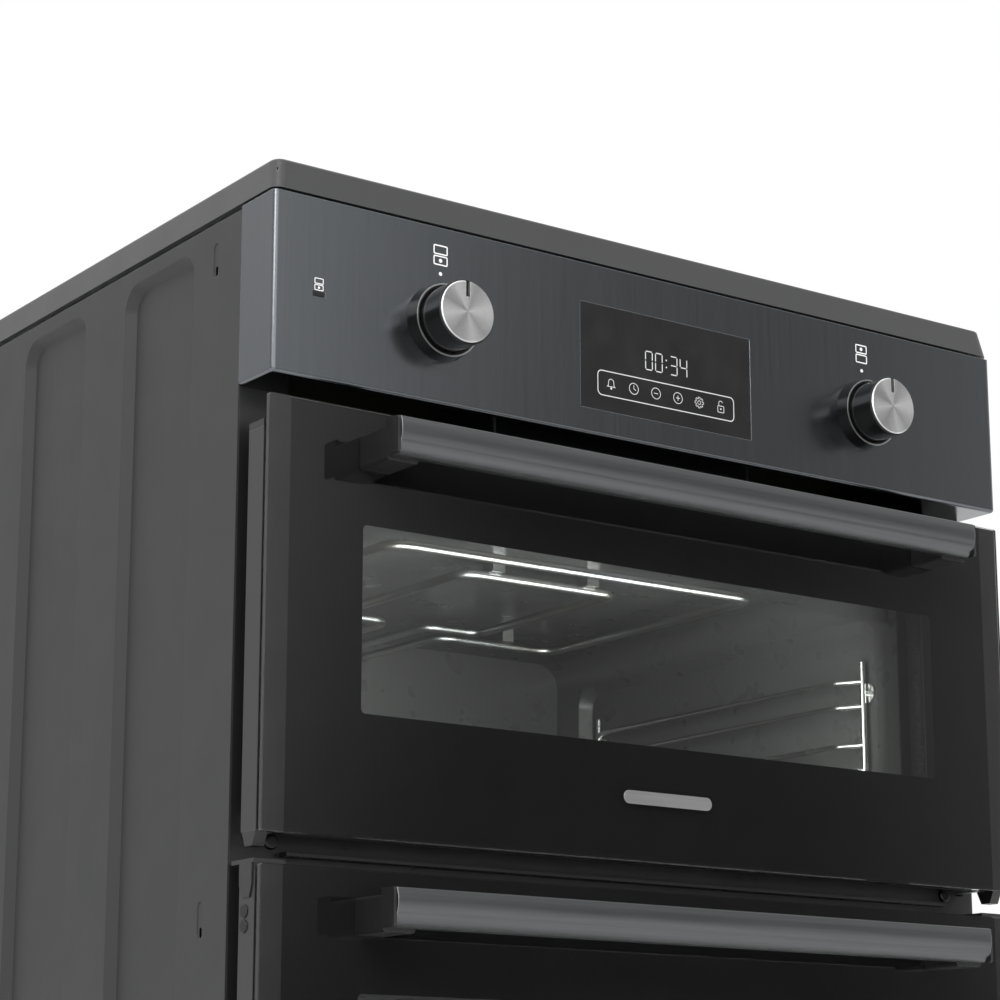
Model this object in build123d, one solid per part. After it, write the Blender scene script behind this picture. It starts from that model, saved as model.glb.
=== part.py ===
from build123d import *
import math
import os

# Double oven cooker, millimetres. +Z is up, the front faces -Y, and X runs across the front.
# The origin is the centre of the whole box, on the floor.

# Overall sizes
WIDTH = 600.0
HEIGHT = 900.0
BODY_DEPTH = 600.0
HANDLE_REACH = 42.6
FRONT = HANDLE_REACH - (BODY_DEPTH + HANDLE_REACH) / 2
BACK = FRONT + BODY_DEPTH
HALF = WIDTH / 2

# Sheet thicknesses and gaps
SHEET = 1.0
FRAME_SHEET = 1.2
RUNNING = 0.05

# The stack of fronts, from the top down
HOB_HEIGHT = 20.0
HOB_GAP = 1.9
HOB_FLARE_X = 3.0
HOB_FLARE_Y = 4.0
HOB_RIM = 12.0
HOB_GLASS = 4.0
HOB_GLASS_DROP = 0.6
HOB_GLASS_FIT = 0.3
HOB_GLASS_CORNER = 3.0
HOB_CORNER = 7.0
HOB_EDGE = 2.2
HOB_WALL = 4.0
HOB_LEDGE = 8.0
HOB_LEDGE_SHEET = 2.0
FASCIA_HEIGHT = 114.0
FASCIA_RETURN = 38.0
FASCIA_GAP = 12.4
UPPER_DOOR_HEIGHT = 258.0
DOOR_SPLIT = 18.0
FOOT_HEIGHT = 30.0
PLINTH_HEIGHT = 56.0
PLINTH_GAP = 4.0
PLINTH_SETBACK = 50.0

HOB_BOTTOM = HEIGHT - HOB_HEIGHT
FASCIA_TOP = HOB_BOTTOM - HOB_GAP
FASCIA_BOTTOM = FASCIA_TOP - FASCIA_HEIGHT
UPPER_TOP = FASCIA_BOTTOM - FASCIA_GAP
UPPER_BOTTOM = UPPER_TOP - UPPER_DOOR_HEIGHT
LOWER_TOP = UPPER_BOTTOM - DOOR_SPLIT
LOWER_BOTTOM = FOOT_HEIGHT + PLINTH_HEIGHT + PLINTH_GAP

# Side panels
PANEL_FRONT = FRONT + FASCIA_RETURN
PANEL_TOP = HOB_BOTTOM - 4.0
RECESS_COUNT = 3
RECESS_FIRST = 96.0
RECESS_WIDTH = 92.0
RECESS_PITCH = 148.0
RECESS_DEPTH = 6.0
RECESS_WALL = 5.5
RECESS_RADIUS = 17.0
RECESS_FLOOR_RADIUS = 11.5
RECESS_TOP_DROP = 10.0
RECESS_FOOT = 60.0
SLOT_FROM_FRONT = 68.5
SLOT_WIDTH = 7.5
SLOT_LENGTH = 22.0
SLOT_POCKET = 0.5
SLOT_HOLE = 6.0
SLOT_DROPS = (37.0, 441.0)
BACK_SETBACK = 20.0
BACK_INNER = BACK - BACK_SETBACK
VENT_ROWS = 6
VENT_DROP = 60.0
VENT_PITCH = 14.0
VENT_LENGTH = 90.0
VENT_HEIGHT = 5.0
BRACKET_SLOT_LENGTH = 40.0
BRACKET_SLOT_HEIGHT = 9.0
BRACKET_SLOT_RISE = 22.0

# Front frame and oven cavities
CAVITY_WIDTH = 466.0
CAVITY_DEPTH = 400.0
CAVITY_RADIUS = 20.0
CAVITY_EMBOSS = 9.0
EMBOSS_SLOPE = 7.0
EMBOSS_FRONT = 22.0
EMBOSS_BACK = 30.0
EMBOSS_LOW = 24.0
EMBOSS_HIGH = 22.0
LAMP_HOLE = 20.0
LAMP_LENGTH = 46.0
RACK_WIRE = 2.2
RACK_STANDOFF = 7.0
RACK_WASHER = 7.5
RAIL_PAIR = 18.0
RAIL_BEND = 8.0
UPPER_CAVITY_HEIGHT = 182.0
UPPER_CAVITY_DROP = 40.0
LOWER_CAVITY_TOP_DROP = 45.0
LOWER_CAVITY_RISE = 40.0
LINER = 1.2
LINER_FLANGE = 14.0
INSULATION = 20.0
FRAME_DEPTH = 18.0
FRAME_BACK = PANEL_FRONT + FRAME_SHEET
CONTROL_OPENING_MARGIN = 34.0
CONTROL_OPENING_TOP = 14.0
CROSS_LIP_DROP = 7.0
CROSS_LIP_SHEET = 2.5
CROSS_LIP_REACH = 9.0
CAVITY_BACK = FRAME_BACK + CAVITY_DEPTH
UPPER_CAVITY = (UPPER_TOP - UPPER_CAVITY_DROP - UPPER_CAVITY_HEIGHT, UPPER_TOP - UPPER_CAVITY_DROP)
LOWER_CAVITY = (LOWER_BOTTOM + LOWER_CAVITY_RISE, LOWER_TOP - LOWER_CAVITY_TOP_DROP)

# Doors
DOOR_GLASS = 4.0
DOOR_NOSE = 4.3
DOOR_FRAME_DEPTH = 17.0
CHANNEL_WIDTH = 22.0
CHANNEL_WALL = 1.2
SIDE_INSET = 1.0
FRAME_TOP_DROP = 14.2
CAP_HEIGHT = 4.5
RAIL_HEIGHT = 22.0
INNER_GLASS = 4.0
DOOR_FRAME_FRONT = FRONT + DOOR_GLASS + DOOR_NOSE
DOOR_BACK = DOOR_FRAME_FRONT + DOOR_FRAME_DEPTH
SEAL_CLEARANCE = 0.5
SEAL_WIDTH = 9.0

# Door hinges
PIVOT_RISE = 8.0
PIVOT_Y = FRONT + 18.0
PIN_RADIUS = 3.0
TONGUE_WIDTH = 6.0
TONGUE_RADIUS = 7.0
TONGUE_INSET = 12.0
TONGUE_CLEARANCE = 1.5
ARM_SHEET = 2.0
ARM_LENGTH = 100.0
RECEIVER_DEPTH = 140.0
RECEIVER_HEIGHT = 34.0
SPRING_RADIUS = 4.7
SPRING_WIRE = 1.4
WIRE_FLATS = 12
SPRING_PITCH = 5.0
SPRING_TURNS = 16

# Handles
BAR_LENGTH = 470.0
BAR_HEIGHT = 22.4
BAR_DEPTH = 13.0
BAR_TOP_DROP = 13.0
LEG_LENGTH = 20.0

# Knobs and controls
KNOB_X = (-180.0, 174.0)
KNOB_Z = FASCIA_TOP - 62.5
KNOB_RADIUS = 20.5
BEZEL_RADIUS = KNOB_RADIUS + 4.1
BEZEL_FRONT_RADIUS = KNOB_RADIUS + 2.8
BEZEL_DEPTH = 9.0
KNOB_FRONT = 29.0
KNOB_EDGE = 0.5
KNOB_CAP = 1.2
CAP_MARGIN = 1.0
CAP_FIT = 0.05
CAP_PROUD = 1.2
CAP_CHAMFER = 0.6
KNOB_GAP = 0.6
SPINDLE_RADIUS = 3.0
POINTER_WIDTH = 2.8
POINTER_LENGTH = 11.0
SWITCH_DEPTH = 28.0
DISPLAY_WIDTH = 142.8
DISPLAY_HEIGHT = 70.4
DISPLAY_TOP_DROP = 26.4
PILOT_X = -HALF + 32.2
PILOT_DROP = 60.3
PILOT_WIDTH = 8.0
PILOT_HEIGHT = 3.1

# Feet and floor
FOOT_X = HALF - 50.0
FOOT_Y = (FRONT + 90.0, BACK - 70.0)
FOOT_RADIUS = 19.0
FOOT_PAD = 9.0
STEM_RADIUS = 5.0
STEM_TOP = 56.0
FOOT_CHAMFER = 2.0
BOSS_WALL = 4.0
BASE_FLANGE = 14.0

# Fans and heaters
FAN_RADIUS = 72.0
FAN_DEPTH = 20.0
FAN_SPACE = 32.0
FAN_SHAFT = 4.0
FAN_BLADES = 14
MOTOR_RADIUS = 34.0
MOTOR_DEPTH = 42.0
ELEMENT_RADIUS = 3.2
TAIL_LENGTH = 40.0
GRILL_Z = UPPER_CAVITY[1] - 13.0
GRILL_BACK = FRAME_BACK + 300.0
BLOWER_RADIUS = 24.0
BLOWER_LENGTH = 190.0
BLOWER_BLADES = 18
BLOWER_Y = FRAME_BACK + 150.0
BLOWER_Z = UPPER_CAVITY[1] + LINER + INSULATION + BLOWER_RADIUS + 12.0
BLOWER_HALF = BLOWER_LENGTH / 2
DISH_DEPTH = 26.0
DISH_WALL = 7.0
DISH_FLOOR = 12.0
COIL_RADIUS = 2.0
COIL_INSET = 16.0
COIL_STEP = 12.0
COIL_SMALLEST = 14.0
TRAY_CLEARANCE = 4.0
TRAY_HALF = HALF - SHEET - TRAY_CLEARANCE
TRAY_Y = (FRAME_BACK + TRAY_CLEARANCE, BACK_INNER - TRAY_CLEARANCE)
DISH_TOP = HEIGHT - HOB_GLASS_DROP - HOB_GLASS
TRAY_TOP = DISH_TOP - 2.0
TRAY_FLOOR = DISH_TOP - DISH_DEPTH
ZONES = ((-142.0, -128.0, 105.0), (142.0, -128.0, 72.5), (-142.0, 118.0, 72.5), (142.0, 118.0, 90.0))

# Cable entry
GLAND_BORE = 9.0
GLAND_RADIUS = 14.0
GLAND_LENGTH = 14.0
TERMINAL_X = -170.0
TERMINAL_Z = 250.0

os.makedirs("parts", exist_ok=True)


def block(x, y, z):
    """A box between three pairs of limits."""
    middle = Pos((x[0] + x[1]) / 2, (y[0] + y[1]) / 2, (z[0] + z[1]) / 2)
    return middle * Box(x[1] - x[0], y[1] - y[0], z[1] - z[0])


def facing_plate(x, y, z, radius):
    """An upright slab that faces the front, with its four corners rounded."""
    origin = ((x[0] + x[1]) / 2, y[1], (z[0] + z[1]) / 2)
    plane = Plane(origin=origin, x_dir=(1, 0, 0), z_dir=(0, -1, 0))
    return extrude(plane * RectangleRounded(x[1] - x[0], z[1] - z[0], radius), amount=y[1] - y[0])


def side_rectangle(x, y, z, radius):
    """A rounded rectangle on an upright plane that faces +X."""
    plane = Plane(origin=(x, (y[0] + y[1]) / 2, (z[0] + z[1]) / 2), x_dir=(0, 1, 0), z_dir=(1, 0, 0))
    return plane * RectangleRounded(y[1] - y[0], z[1] - z[0], radius)


def rod_x(y, z, radius, x):
    """A round bar along X between two limits."""
    return Pos((x[0] + x[1]) / 2, y, z) * Rot(0, 90, 0) * Cylinder(radius, x[1] - x[0])


def rod_y(x, z, radius, y):
    """A round bar along Y between two limits."""
    return Pos(x, (y[0] + y[1]) / 2, z) * Rot(90, 0, 0) * Cylinder(radius, y[1] - y[0])


def rod_z(x, y, radius, z):
    """A round bar along Z between two limits."""
    return Pos(x, y, (z[0] + z[1]) / 2) * Cylinder(radius, z[1] - z[0])


def bent_wire(points, bend, radius):
    """A round wire along straight runs with rounded bends."""
    path = FilletPolyline(*points, radius=bend)
    section = Plane(origin=path @ 0, z_dir=path % 0) * Circle(radius)
    return sweep(section, path=path)


def mirrored(piece):
    """The same piece on the other side of the centre plane."""
    return mirror(piece, about=Plane.YZ)


def save(name, *pieces):
    """Writes one sub-part, with its separate pieces side by side."""
    solids = [solid for piece in pieces for solid in piece.solids()]
    export_step(solids[0] if len(solids) == 1 else Compound(children=solids), f"parts/{name}.step")


# ---------------------------------------------------------------- hob

def frustum(x, y, z, inset_x, inset_y, radius):
    """A flat block whose sides lean in towards the top."""
    centre = ((x[0] + x[1]) / 2, (y[0] + y[1]) / 2)
    low = Pos(centre[0], centre[1], z[0]) * RectangleRounded(x[1] - x[0], y[1] - y[0], radius)
    size = (x[1] - x[0] - 2 * inset_x, y[1] - y[0] - 2 * inset_y)
    high = Pos(centre[0], centre[1], z[1]) * RectangleRounded(size[0], size[1], radius)
    return loft([low, high])


def hob_frame():
    """The trim ring round the hob: leaning walls, a flat rim and a ledge that holds the glass."""
    x, y = (-HALF, HALF), (FRONT, BACK)
    ring = frustum(x, y, (HOB_BOTTOM, HEIGHT), HOB_FLARE_X, HOB_FLARE_Y, HOB_CORNER)
    ring = fillet(ring.faces().sort_by(Axis.Z)[-1].edges(), HOB_EDGE)
    opening = HALF - HOB_FLARE_X - HOB_RIM
    rim_y = (FRONT + HOB_FLARE_Y + HOB_RIM, BACK - HOB_FLARE_Y - HOB_RIM)
    seat = HEIGHT - HOB_GLASS_DROP - HOB_GLASS
    ring -= block((-opening, opening), rim_y, (seat, HEIGHT + 1))
    through_x = opening - HOB_LEDGE
    through_y = (rim_y[0] + HOB_LEDGE, rim_y[1] - HOB_LEDGE)
    ring -= block((-through_x, through_x), through_y, (HOB_BOTTOM - 1, HEIGHT))
    hollow_x = HALF - HOB_WALL
    hollow_y = (FRONT + HOB_WALL, BACK - HOB_WALL)
    under = block((-hollow_x, hollow_x), hollow_y, (HOB_BOTTOM - 1, seat - HOB_LEDGE_SHEET))
    return ring - under


def hob_glass():
    """The ceramic glass plate, just below the rim."""
    inset = HOB_RIM + HOB_GLASS_FIT
    half = HALF - HOB_FLARE_X - inset
    y = (FRONT + HOB_FLARE_Y + inset, BACK - HOB_FLARE_Y - inset)
    top = HEIGHT - HOB_GLASS_DROP
    plate = block((-half, half), y, (top - HOB_GLASS, top))
    return fillet(plate.edges().filter_by(Axis.Z), HOB_GLASS_CORNER)


def hob_tray():
    """The sheet tray below the glass that carries the heaters."""
    low = TRAY_FLOOR - SHEET
    tray = block((-TRAY_HALF, TRAY_HALF), TRAY_Y, (low, TRAY_TOP))
    inner_y = (TRAY_Y[0] + SHEET, TRAY_Y[1] - SHEET)
    return tray - block((-TRAY_HALF + SHEET, TRAY_HALF - SHEET), inner_y, (TRAY_FLOOR, HEIGHT))


def zone_centre(zone):
    """The place of a cooking zone, kept in proportion to the tray."""
    return zone[0] * HALF / 300.0, (TRAY_Y[0] + TRAY_Y[1]) / 2 + zone[1] * BODY_DEPTH / 600.0


def heater_dish(zone):
    """A shallow round dish with an insulating lining."""
    x, y = zone_centre(zone)
    dish = rod_z(x, y, zone[2], (TRAY_FLOOR, DISH_TOP))
    dish -= rod_z(x, y, zone[2] - DISH_WALL, (TRAY_FLOOR + DISH_FLOOR, DISH_TOP + 1))
    return dish


def heater_coil(zone):
    """The heating ribbon in a dish, as rings that rest on the lining."""
    x, y = zone_centre(zone)
    height = TRAY_FLOOR + DISH_FLOOR + COIL_RADIUS
    rings = []
    radius = zone[2] - COIL_INSET
    while radius > COIL_SMALLEST:
        rings.append(Pos(x, y, height) * Torus(radius, COIL_RADIUS))
        radius -= COIL_STEP
    return rings


# ---------------------------------------------------------------- carcass

def recess_spans():
    """The front-to-back limits of each pressed recess that fits on the panel."""
    starts = [FRONT + RECESS_FIRST + RECESS_PITCH * i for i in range(RECESS_COUNT)]
    return [(start, start + RECESS_WIDTH) for start in starts]


def side_panel():
    """The left side sheet, with tall pressed recesses and two coined slots with a hole at the foot."""
    z = (FOOT_HEIGHT, PANEL_TOP)
    panel = block((-HALF, -HALF + SHEET), (PANEL_FRONT, BACK), z)
    tall = (z[0] + RECESS_FOOT, PANEL_TOP - RECESS_TOP_DROP)
    for span in recess_spans():
        for grow, add in ((SHEET, True), (0.0, False)):
            shift = SHEET if add else 0.0
            outer = side_rectangle(
                -HALF + shift,
                (span[0] - grow, span[1] + grow),
                (tall[0] - grow, tall[1] + grow),
                RECESS_RADIUS + grow,
            )
            inner = side_rectangle(
                -HALF + RECESS_DEPTH + shift,
                (span[0] - grow + RECESS_WALL, span[1] + grow - RECESS_WALL),
                (tall[0] - grow + RECESS_WALL, tall[1] + grow - RECESS_WALL),
                RECESS_FLOOR_RADIUS + grow,
            )
            form = loft([outer, inner])
            panel = panel + form if add else panel - form
    for drop in SLOT_DROPS:
        middle = (FRONT + SLOT_FROM_FRONT, HEIGHT - drop - SLOT_LENGTH / 2)
        slot_y = (middle[0] - SLOT_WIDTH / 2, middle[0] + SLOT_WIDTH / 2)
        slot_z = (middle[1] - SLOT_LENGTH / 2, middle[1] + SLOT_LENGTH / 2)
        radius = SLOT_WIDTH / 2 - 0.1
        pocket = side_rectangle(-HALF - 1, slot_y, slot_z, radius)
        panel -= extrude(pocket, amount=1 + SLOT_POCKET)
        hole_y = (middle[0] - SLOT_HOLE / 4, middle[0] + SLOT_HOLE / 4)
        hole_z = (slot_z[0] + 1.0, slot_z[0] + 1.0 + SLOT_HOLE)
        hole = side_rectangle(-HALF - 1, hole_y, hole_z, SLOT_HOLE / 4 - 0.1)
        panel -= extrude(hole, amount=SHEET + 2)
    return panel


def back_panel():
    """The rear sheet, set forward of the sides, with rows of air slots and a bracket hole."""
    inside = HALF - SHEET
    y = (BACK_INNER, BACK_INNER + SHEET)
    panel = block((-inside, inside), y, (FOOT_HEIGHT + FRAME_SHEET, PANEL_TOP))
    through = (y[0] - 1, y[1] + 1)
    half = VENT_LENGTH / 2
    for row in range(VENT_ROWS):
        z = PANEL_TOP - VENT_DROP - VENT_PITCH * row
        for x in (-HALF * 0.45, HALF * 0.45):
            slot_z = (z, z + VENT_HEIGHT)
            panel -= facing_plate((x - half, x + half), through, slot_z, VENT_HEIGHT * 0.48)
    low = FOOT_HEIGHT + FRAME_SHEET + BRACKET_SLOT_RISE
    slot_x = (-BRACKET_SLOT_LENGTH / 2, BRACKET_SLOT_LENGTH / 2)
    slot_z = (low, low + BRACKET_SLOT_HEIGHT)
    return panel - facing_plate(slot_x, through, slot_z, BRACKET_SLOT_HEIGHT * 0.49)


def base_pan():
    """The floor tray with up-turned edges and a threaded boss over each foot."""
    inside = HALF - SHEET
    z = FOOT_HEIGHT
    y = (FRONT + PLINTH_SETBACK + SHEET, BACK_INNER)
    pan = block((-inside, inside), y, (z, z + FRAME_SHEET + BASE_FLANGE))
    hollow_y = (y[0] + FRAME_SHEET, y[1] - FRAME_SHEET)
    hollow_x = inside - FRAME_SHEET
    pan -= block((-hollow_x, hollow_x), hollow_y, (z + FRAME_SHEET, z + 100))
    for x in (-FOOT_X, FOOT_X):
        for foot_y in FOOT_Y:
            pan += rod_z(x, foot_y, STEM_RADIUS + BOSS_WALL, (z, z + BASE_FLANGE))
            pan -= rod_z(x, foot_y, STEM_RADIUS + RUNNING, (z - 1, z + 100))
    return pan


def foot(x, y):
    """A levelling foot: a round pad with a threaded stem."""
    pad = rod_z(x, y, FOOT_RADIUS, (0, FOOT_PAD))
    pad = chamfer(pad.edges().sort_by(Axis.Z)[-1:], FOOT_CHAMFER)
    return pad + rod_z(x, y, STEM_RADIUS, (FOOT_PAD - 1, STEM_TOP))


def plinth():
    """The kick plate below the lower door, with a flange that reaches the front frame."""
    inside = HALF - SHEET
    top = FOOT_HEIGHT + PLINTH_HEIGHT
    y = (FRONT + PLINTH_SETBACK, FRONT + PLINTH_SETBACK + SHEET)
    plate = block((-inside, inside), y, (FOOT_HEIGHT, top))
    return plate + block((-inside, inside), (PANEL_FRONT, y[1]), (top - SHEET, top))


def hinge_x():
    """The limits across the hinge tongue, inside the right door channel."""
    outer = HALF - SIDE_INSET
    middle = outer - TONGUE_INSET
    return (middle - TONGUE_WIDTH / 2, middle + TONGUE_WIDTH / 2)


def front_frame():
    """The folded front frame: two oven openings, the control opening and the hinge slots."""
    inside = HALF - SHEET
    foot_z = FOOT_HEIGHT + PLINTH_HEIGHT
    frame = block((-inside, inside), (PANEL_FRONT, FRAME_BACK + FRAME_DEPTH), (foot_z, PANEL_TOP))
    frame -= block((-inside + FRAME_SHEET, inside - FRAME_SHEET), (FRAME_BACK, BACK), (0, HEIGHT))
    through = (PANEL_FRONT - 1, FRAME_BACK + 1)
    half = CAVITY_WIDTH / 2
    frame -= facing_plate((-half, half), through, UPPER_CAVITY, CAVITY_RADIUS)
    frame -= facing_plate((-half, half), through, LOWER_CAVITY, CAVITY_RADIUS)
    control_x = inside - CONTROL_OPENING_MARGIN
    control_z = (UPPER_TOP - 2.0, PANEL_TOP - CONTROL_OPENING_TOP)
    frame -= facing_plate((-control_x, control_x), through, control_z, 4.0)
    slot = hinge_x()
    for bottom in (UPPER_BOTTOM, LOWER_BOTTOM):
        z = bottom + PIVOT_RISE
        for x in (slot, (-slot[1], -slot[0])):
            reach = TONGUE_RADIUS + TONGUE_CLEARANCE
            frame -= block((x[0] - 1, x[1] + 1), through, (z - reach, z + reach))
    lip_top = UPPER_BOTTOM - CROSS_LIP_DROP
    lip_half = slot[0] - 18.0
    lip_y = (PANEL_FRONT - CROSS_LIP_REACH, PANEL_FRONT + 0.5)
    return frame + block((-lip_half, lip_half), lip_y, (lip_top - CROSS_LIP_SHEET, lip_top))


def oven_liner(cavity):
    """A pressed oven box with rounded corners, a front flange and outward side panels."""
    half = CAVITY_WIDTH / 2
    flange = LINER_FLANGE
    outer_x = (-half - LINER, half + LINER)
    outer_z = (cavity[0] - LINER, cavity[1] + LINER)
    tub = facing_plate(outer_x, (FRAME_BACK, CAVITY_BACK + LINER), outer_z, CAVITY_RADIUS + LINER)
    rim_x = (-half - flange, half + flange)
    rim_z = (cavity[0] - flange, cavity[1] + flange)
    tub += facing_plate(rim_x, (FRAME_BACK, FRAME_BACK + LINER), rim_z, CAVITY_RADIUS + flange)
    for grow, add in ((LINER, True), (0.0, False)):
        if not add:
            tub -= facing_plate((-half, half), (FRAME_BACK - 1, CAVITY_BACK), cavity, CAVITY_RADIUS)
        y = (FRAME_BACK + EMBOSS_FRONT - grow, CAVITY_BACK - EMBOSS_BACK + grow)
        z = (cavity[0] + EMBOSS_LOW - grow, cavity[1] - EMBOSS_HIGH + grow)
        wide = side_rectangle(half, y, z, 18.0)
        slope = EMBOSS_SLOPE
        floor_y, floor_z = (y[0] + slope, y[1] - slope), (z[0] + slope, z[1] - slope)
        narrow = side_rectangle(half + CAVITY_EMBOSS + grow, floor_y, floor_z, 12.0)
        form = loft([wide, narrow])
        both = (form, mirrored(form))
        for side in both:
            tub = tub + side if add else tub - side
    return tub


def fan_centre():
    """The height of the oven fan's axis."""
    return (LOWER_CAVITY[0] + LOWER_CAVITY[1]) / 2


def lamp_places():
    """Where the two oven lamps pass through the back walls: x and z of each."""
    return ((-170.0, UPPER_CAVITY[1] - 45.0), (-170.0, LOWER_CAVITY[1] - 48.0))


def upper_liner():
    """The upper oven box, with holes for its lamp and the element tails."""
    tub = oven_liner(UPPER_CAVITY)
    x, z = lamp_places()[0]
    tub -= rod_y(x, z, LAMP_HOLE, (CAVITY_BACK - 1, CAVITY_BACK + 9))
    for x, z in (*grill_tails(), *base_tails()):
        tub -= rod_y(x, z, ELEMENT_RADIUS + 0.5, (CAVITY_BACK - 1, CAVITY_BACK + 9))
    return tub


def lower_liner():
    """The lower oven box, with holes for its lamp, the fan shaft and the element tails."""
    tub = oven_liner(LOWER_CAVITY)
    x, z = lamp_places()[1]
    tub -= rod_y(x, z, LAMP_HOLE, (CAVITY_BACK - 1, CAVITY_BACK + 9))
    tub -= rod_y(0, fan_centre(), FAN_SHAFT + 2.0, (CAVITY_BACK - 1, CAVITY_BACK + 9))
    for x, z in ring_tails():
        tub -= rod_y(x, z, ELEMENT_RADIUS + 0.5, (CAVITY_BACK - 1, CAVITY_BACK + 9))
    return tub


def blanket(cavity, holes):
    """The insulation wrap round one oven, closed at the back, with clearance holes."""
    gap = CAVITY_EMBOSS + 2 * LINER
    half = CAVITY_WIDTH / 2 + gap
    z = (cavity[0] - LINER - 0.3, cavity[1] + LINER + 0.3)
    back = CAVITY_BACK + LINER + 0.3
    front = FRAME_BACK + LINER
    wrap_x = (-half - INSULATION, half + INSULATION)
    wrap_z = (z[0] - INSULATION, z[1] + INSULATION)
    wrap = facing_plate(wrap_x, (front, back + INSULATION), wrap_z, 30.0)
    wrap -= facing_plate((-half, half), (front - 1, back), z, 12.0)
    for x, height, radius in holes:
        wrap -= rod_y(x, height, radius, (back - 1, back + INSULATION + 1))
    return wrap


def insulation():
    """Both blankets."""
    upper = [(*lamp_places()[0], 24.0)]
    upper += [(x, z, 8.0) for x, z in (*grill_tails(), *base_tails())]
    lower = [(*lamp_places()[1], 24.0), (0, fan_centre(), MOTOR_RADIUS + 3.0)]
    lower += [(x, z, 8.0) for x, z in ring_tails()]
    return blanket(UPPER_CAVITY, upper), blanket(LOWER_CAVITY, lower)


def seal_ring(cavity):
    """The soft door gasket round one oven opening."""
    half = CAVITY_WIDTH / 2 + 6.0
    y = (DOOR_BACK + SEAL_CLEARANCE, PANEL_FRONT)
    low = (cavity[0] - 6.0, cavity[1] + 6.0)
    outer_x = (-half - SEAL_WIDTH, half + SEAL_WIDTH)
    outer_z = (low[0] - SEAL_WIDTH, low[1] + SEAL_WIDTH)
    ring = facing_plate(outer_x, y, outer_z, CAVITY_RADIUS + 6.0 + SEAL_WIDTH)
    ring -= facing_plate((-half, half), (y[0] - 1, y[1] + 1), low, CAVITY_RADIUS + 6.0)
    return fillet(ring.faces().sort_by(Axis.Y)[0].edges(), SEAL_WIDTH * 0.4)


# ---------------------------------------------------------------- heaters, lamps and racks


def grill_tails():
    """Where the grill element passes through the back wall: x and z of each end."""
    return ((-16.0, GRILL_Z), (16.0, GRILL_Z), (-46.0, GRILL_Z), (46.0, GRILL_Z))


def base_tails():
    """Where the upper oven's floor element passes through the back wall."""
    height = UPPER_CAVITY[0] + 12.0
    return ((-30.0, height), (30.0, height))


def ring_tails():
    """Where the ring element passes through the back wall, below the fan."""
    height = fan_centre() - 94.0
    return ((-24.0, height), (24.0, height))


def flat_loop(half, front, back, z, tail):
    """A flat heating loop: out of the back wall, round the oven and back through the wall."""
    right = [
        (tail, CAVITY_BACK + TAIL_LENGTH, z),
        (tail, back, z),
        (half, back, z),
        (half, front, z),
    ]
    return right + [(-x, y, height) for x, y, height in reversed(right)]


def grill_element():
    """Two nested heating loops below the ceiling, with hangers and tails through the back."""
    front = FRAME_BACK + 58.0
    outer = flat_loop(152.0, front, GRILL_BACK, GRILL_Z, 46.0)
    inner_front = front + 46.0
    inner = flat_loop(64.0, inner_front, GRILL_BACK - 28.0, GRILL_Z, 16.0)
    loops = [bent_wire(outer, 15.0, ELEMENT_RADIUS), bent_wire(inner, 12.0, ELEMENT_RADIUS)]
    top = UPPER_CAVITY[1]
    low = GRILL_Z + ELEMENT_RADIUS - 0.4
    for x in (-108.0, 108.0):
        strap = block((x - 5, x + 5), (GRILL_BACK - 6, GRILL_BACK + 6), (low, top))
        loops[0] += strap
    for x in (-40.0, 40.0):
        loops[1] += block((x - 5, x + 5), (inner_front - 6, inner_front + 6), (low, top))
    return loops


def tubular_elements():
    """The upper oven's floor element and the ring element round the oven fan."""
    z = UPPER_CAVITY[0] + 12.0
    y = (FRAME_BACK + 70.0, CAVITY_BACK - 50.0)
    floor = bent_wire(flat_loop(170.0, y[0], y[1], z, 30.0), 15.0, ELEMENT_RADIUS)
    for x in (-100.0, 100.0):
        low = UPPER_CAVITY[0]
        floor += block((x - 5, x + 5), (y[0] - 5, y[0] + 5), (low, z - ELEMENT_RADIUS + 0.4))
    centre = fan_centre()
    plane_y = CAVITY_BACK - FAN_SPACE / 2
    radius = FAN_RADIUS + 16.0
    corners = 10
    points = [(24.0, CAVITY_BACK + TAIL_LENGTH, centre - 94.0), (24.0, plane_y, centre - 94.0)]
    for i in range(corners):
        angle = math.radians(-90 + 32 + (360 - 64) * i / (corners - 1))
        points.append((radius * math.cos(angle), plane_y, centre + radius * math.sin(angle)))
    points += [(-24.0, plane_y, centre - 94.0), (-24.0, CAVITY_BACK + TAIL_LENGTH, centre - 94.0)]
    return floor, bent_wire(points, 9.0, ELEMENT_RADIUS)


def oven_lamp(place):
    """A lamp: a holder behind the back wall and a glass dome inside the oven."""
    x, z = place
    flange = 5.0
    lamp = rod_y(x, z, LAMP_HOLE - 0.5, (CAVITY_BACK - 0.5, CAVITY_BACK + LAMP_LENGTH))
    lamp += rod_y(x, z, LAMP_HOLE + 4.0, (CAVITY_BACK - flange, CAVITY_BACK))
    dome = Pos(x, CAVITY_BACK - flange, z) * Sphere(LAMP_HOLE)
    inside = (CAVITY_BACK - flange - LAMP_HOLE, CAVITY_BACK - flange + 1.0)
    return lamp + (dome & block((x - 30, x + 30), inside, (z - 30, z + 30)))



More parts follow.
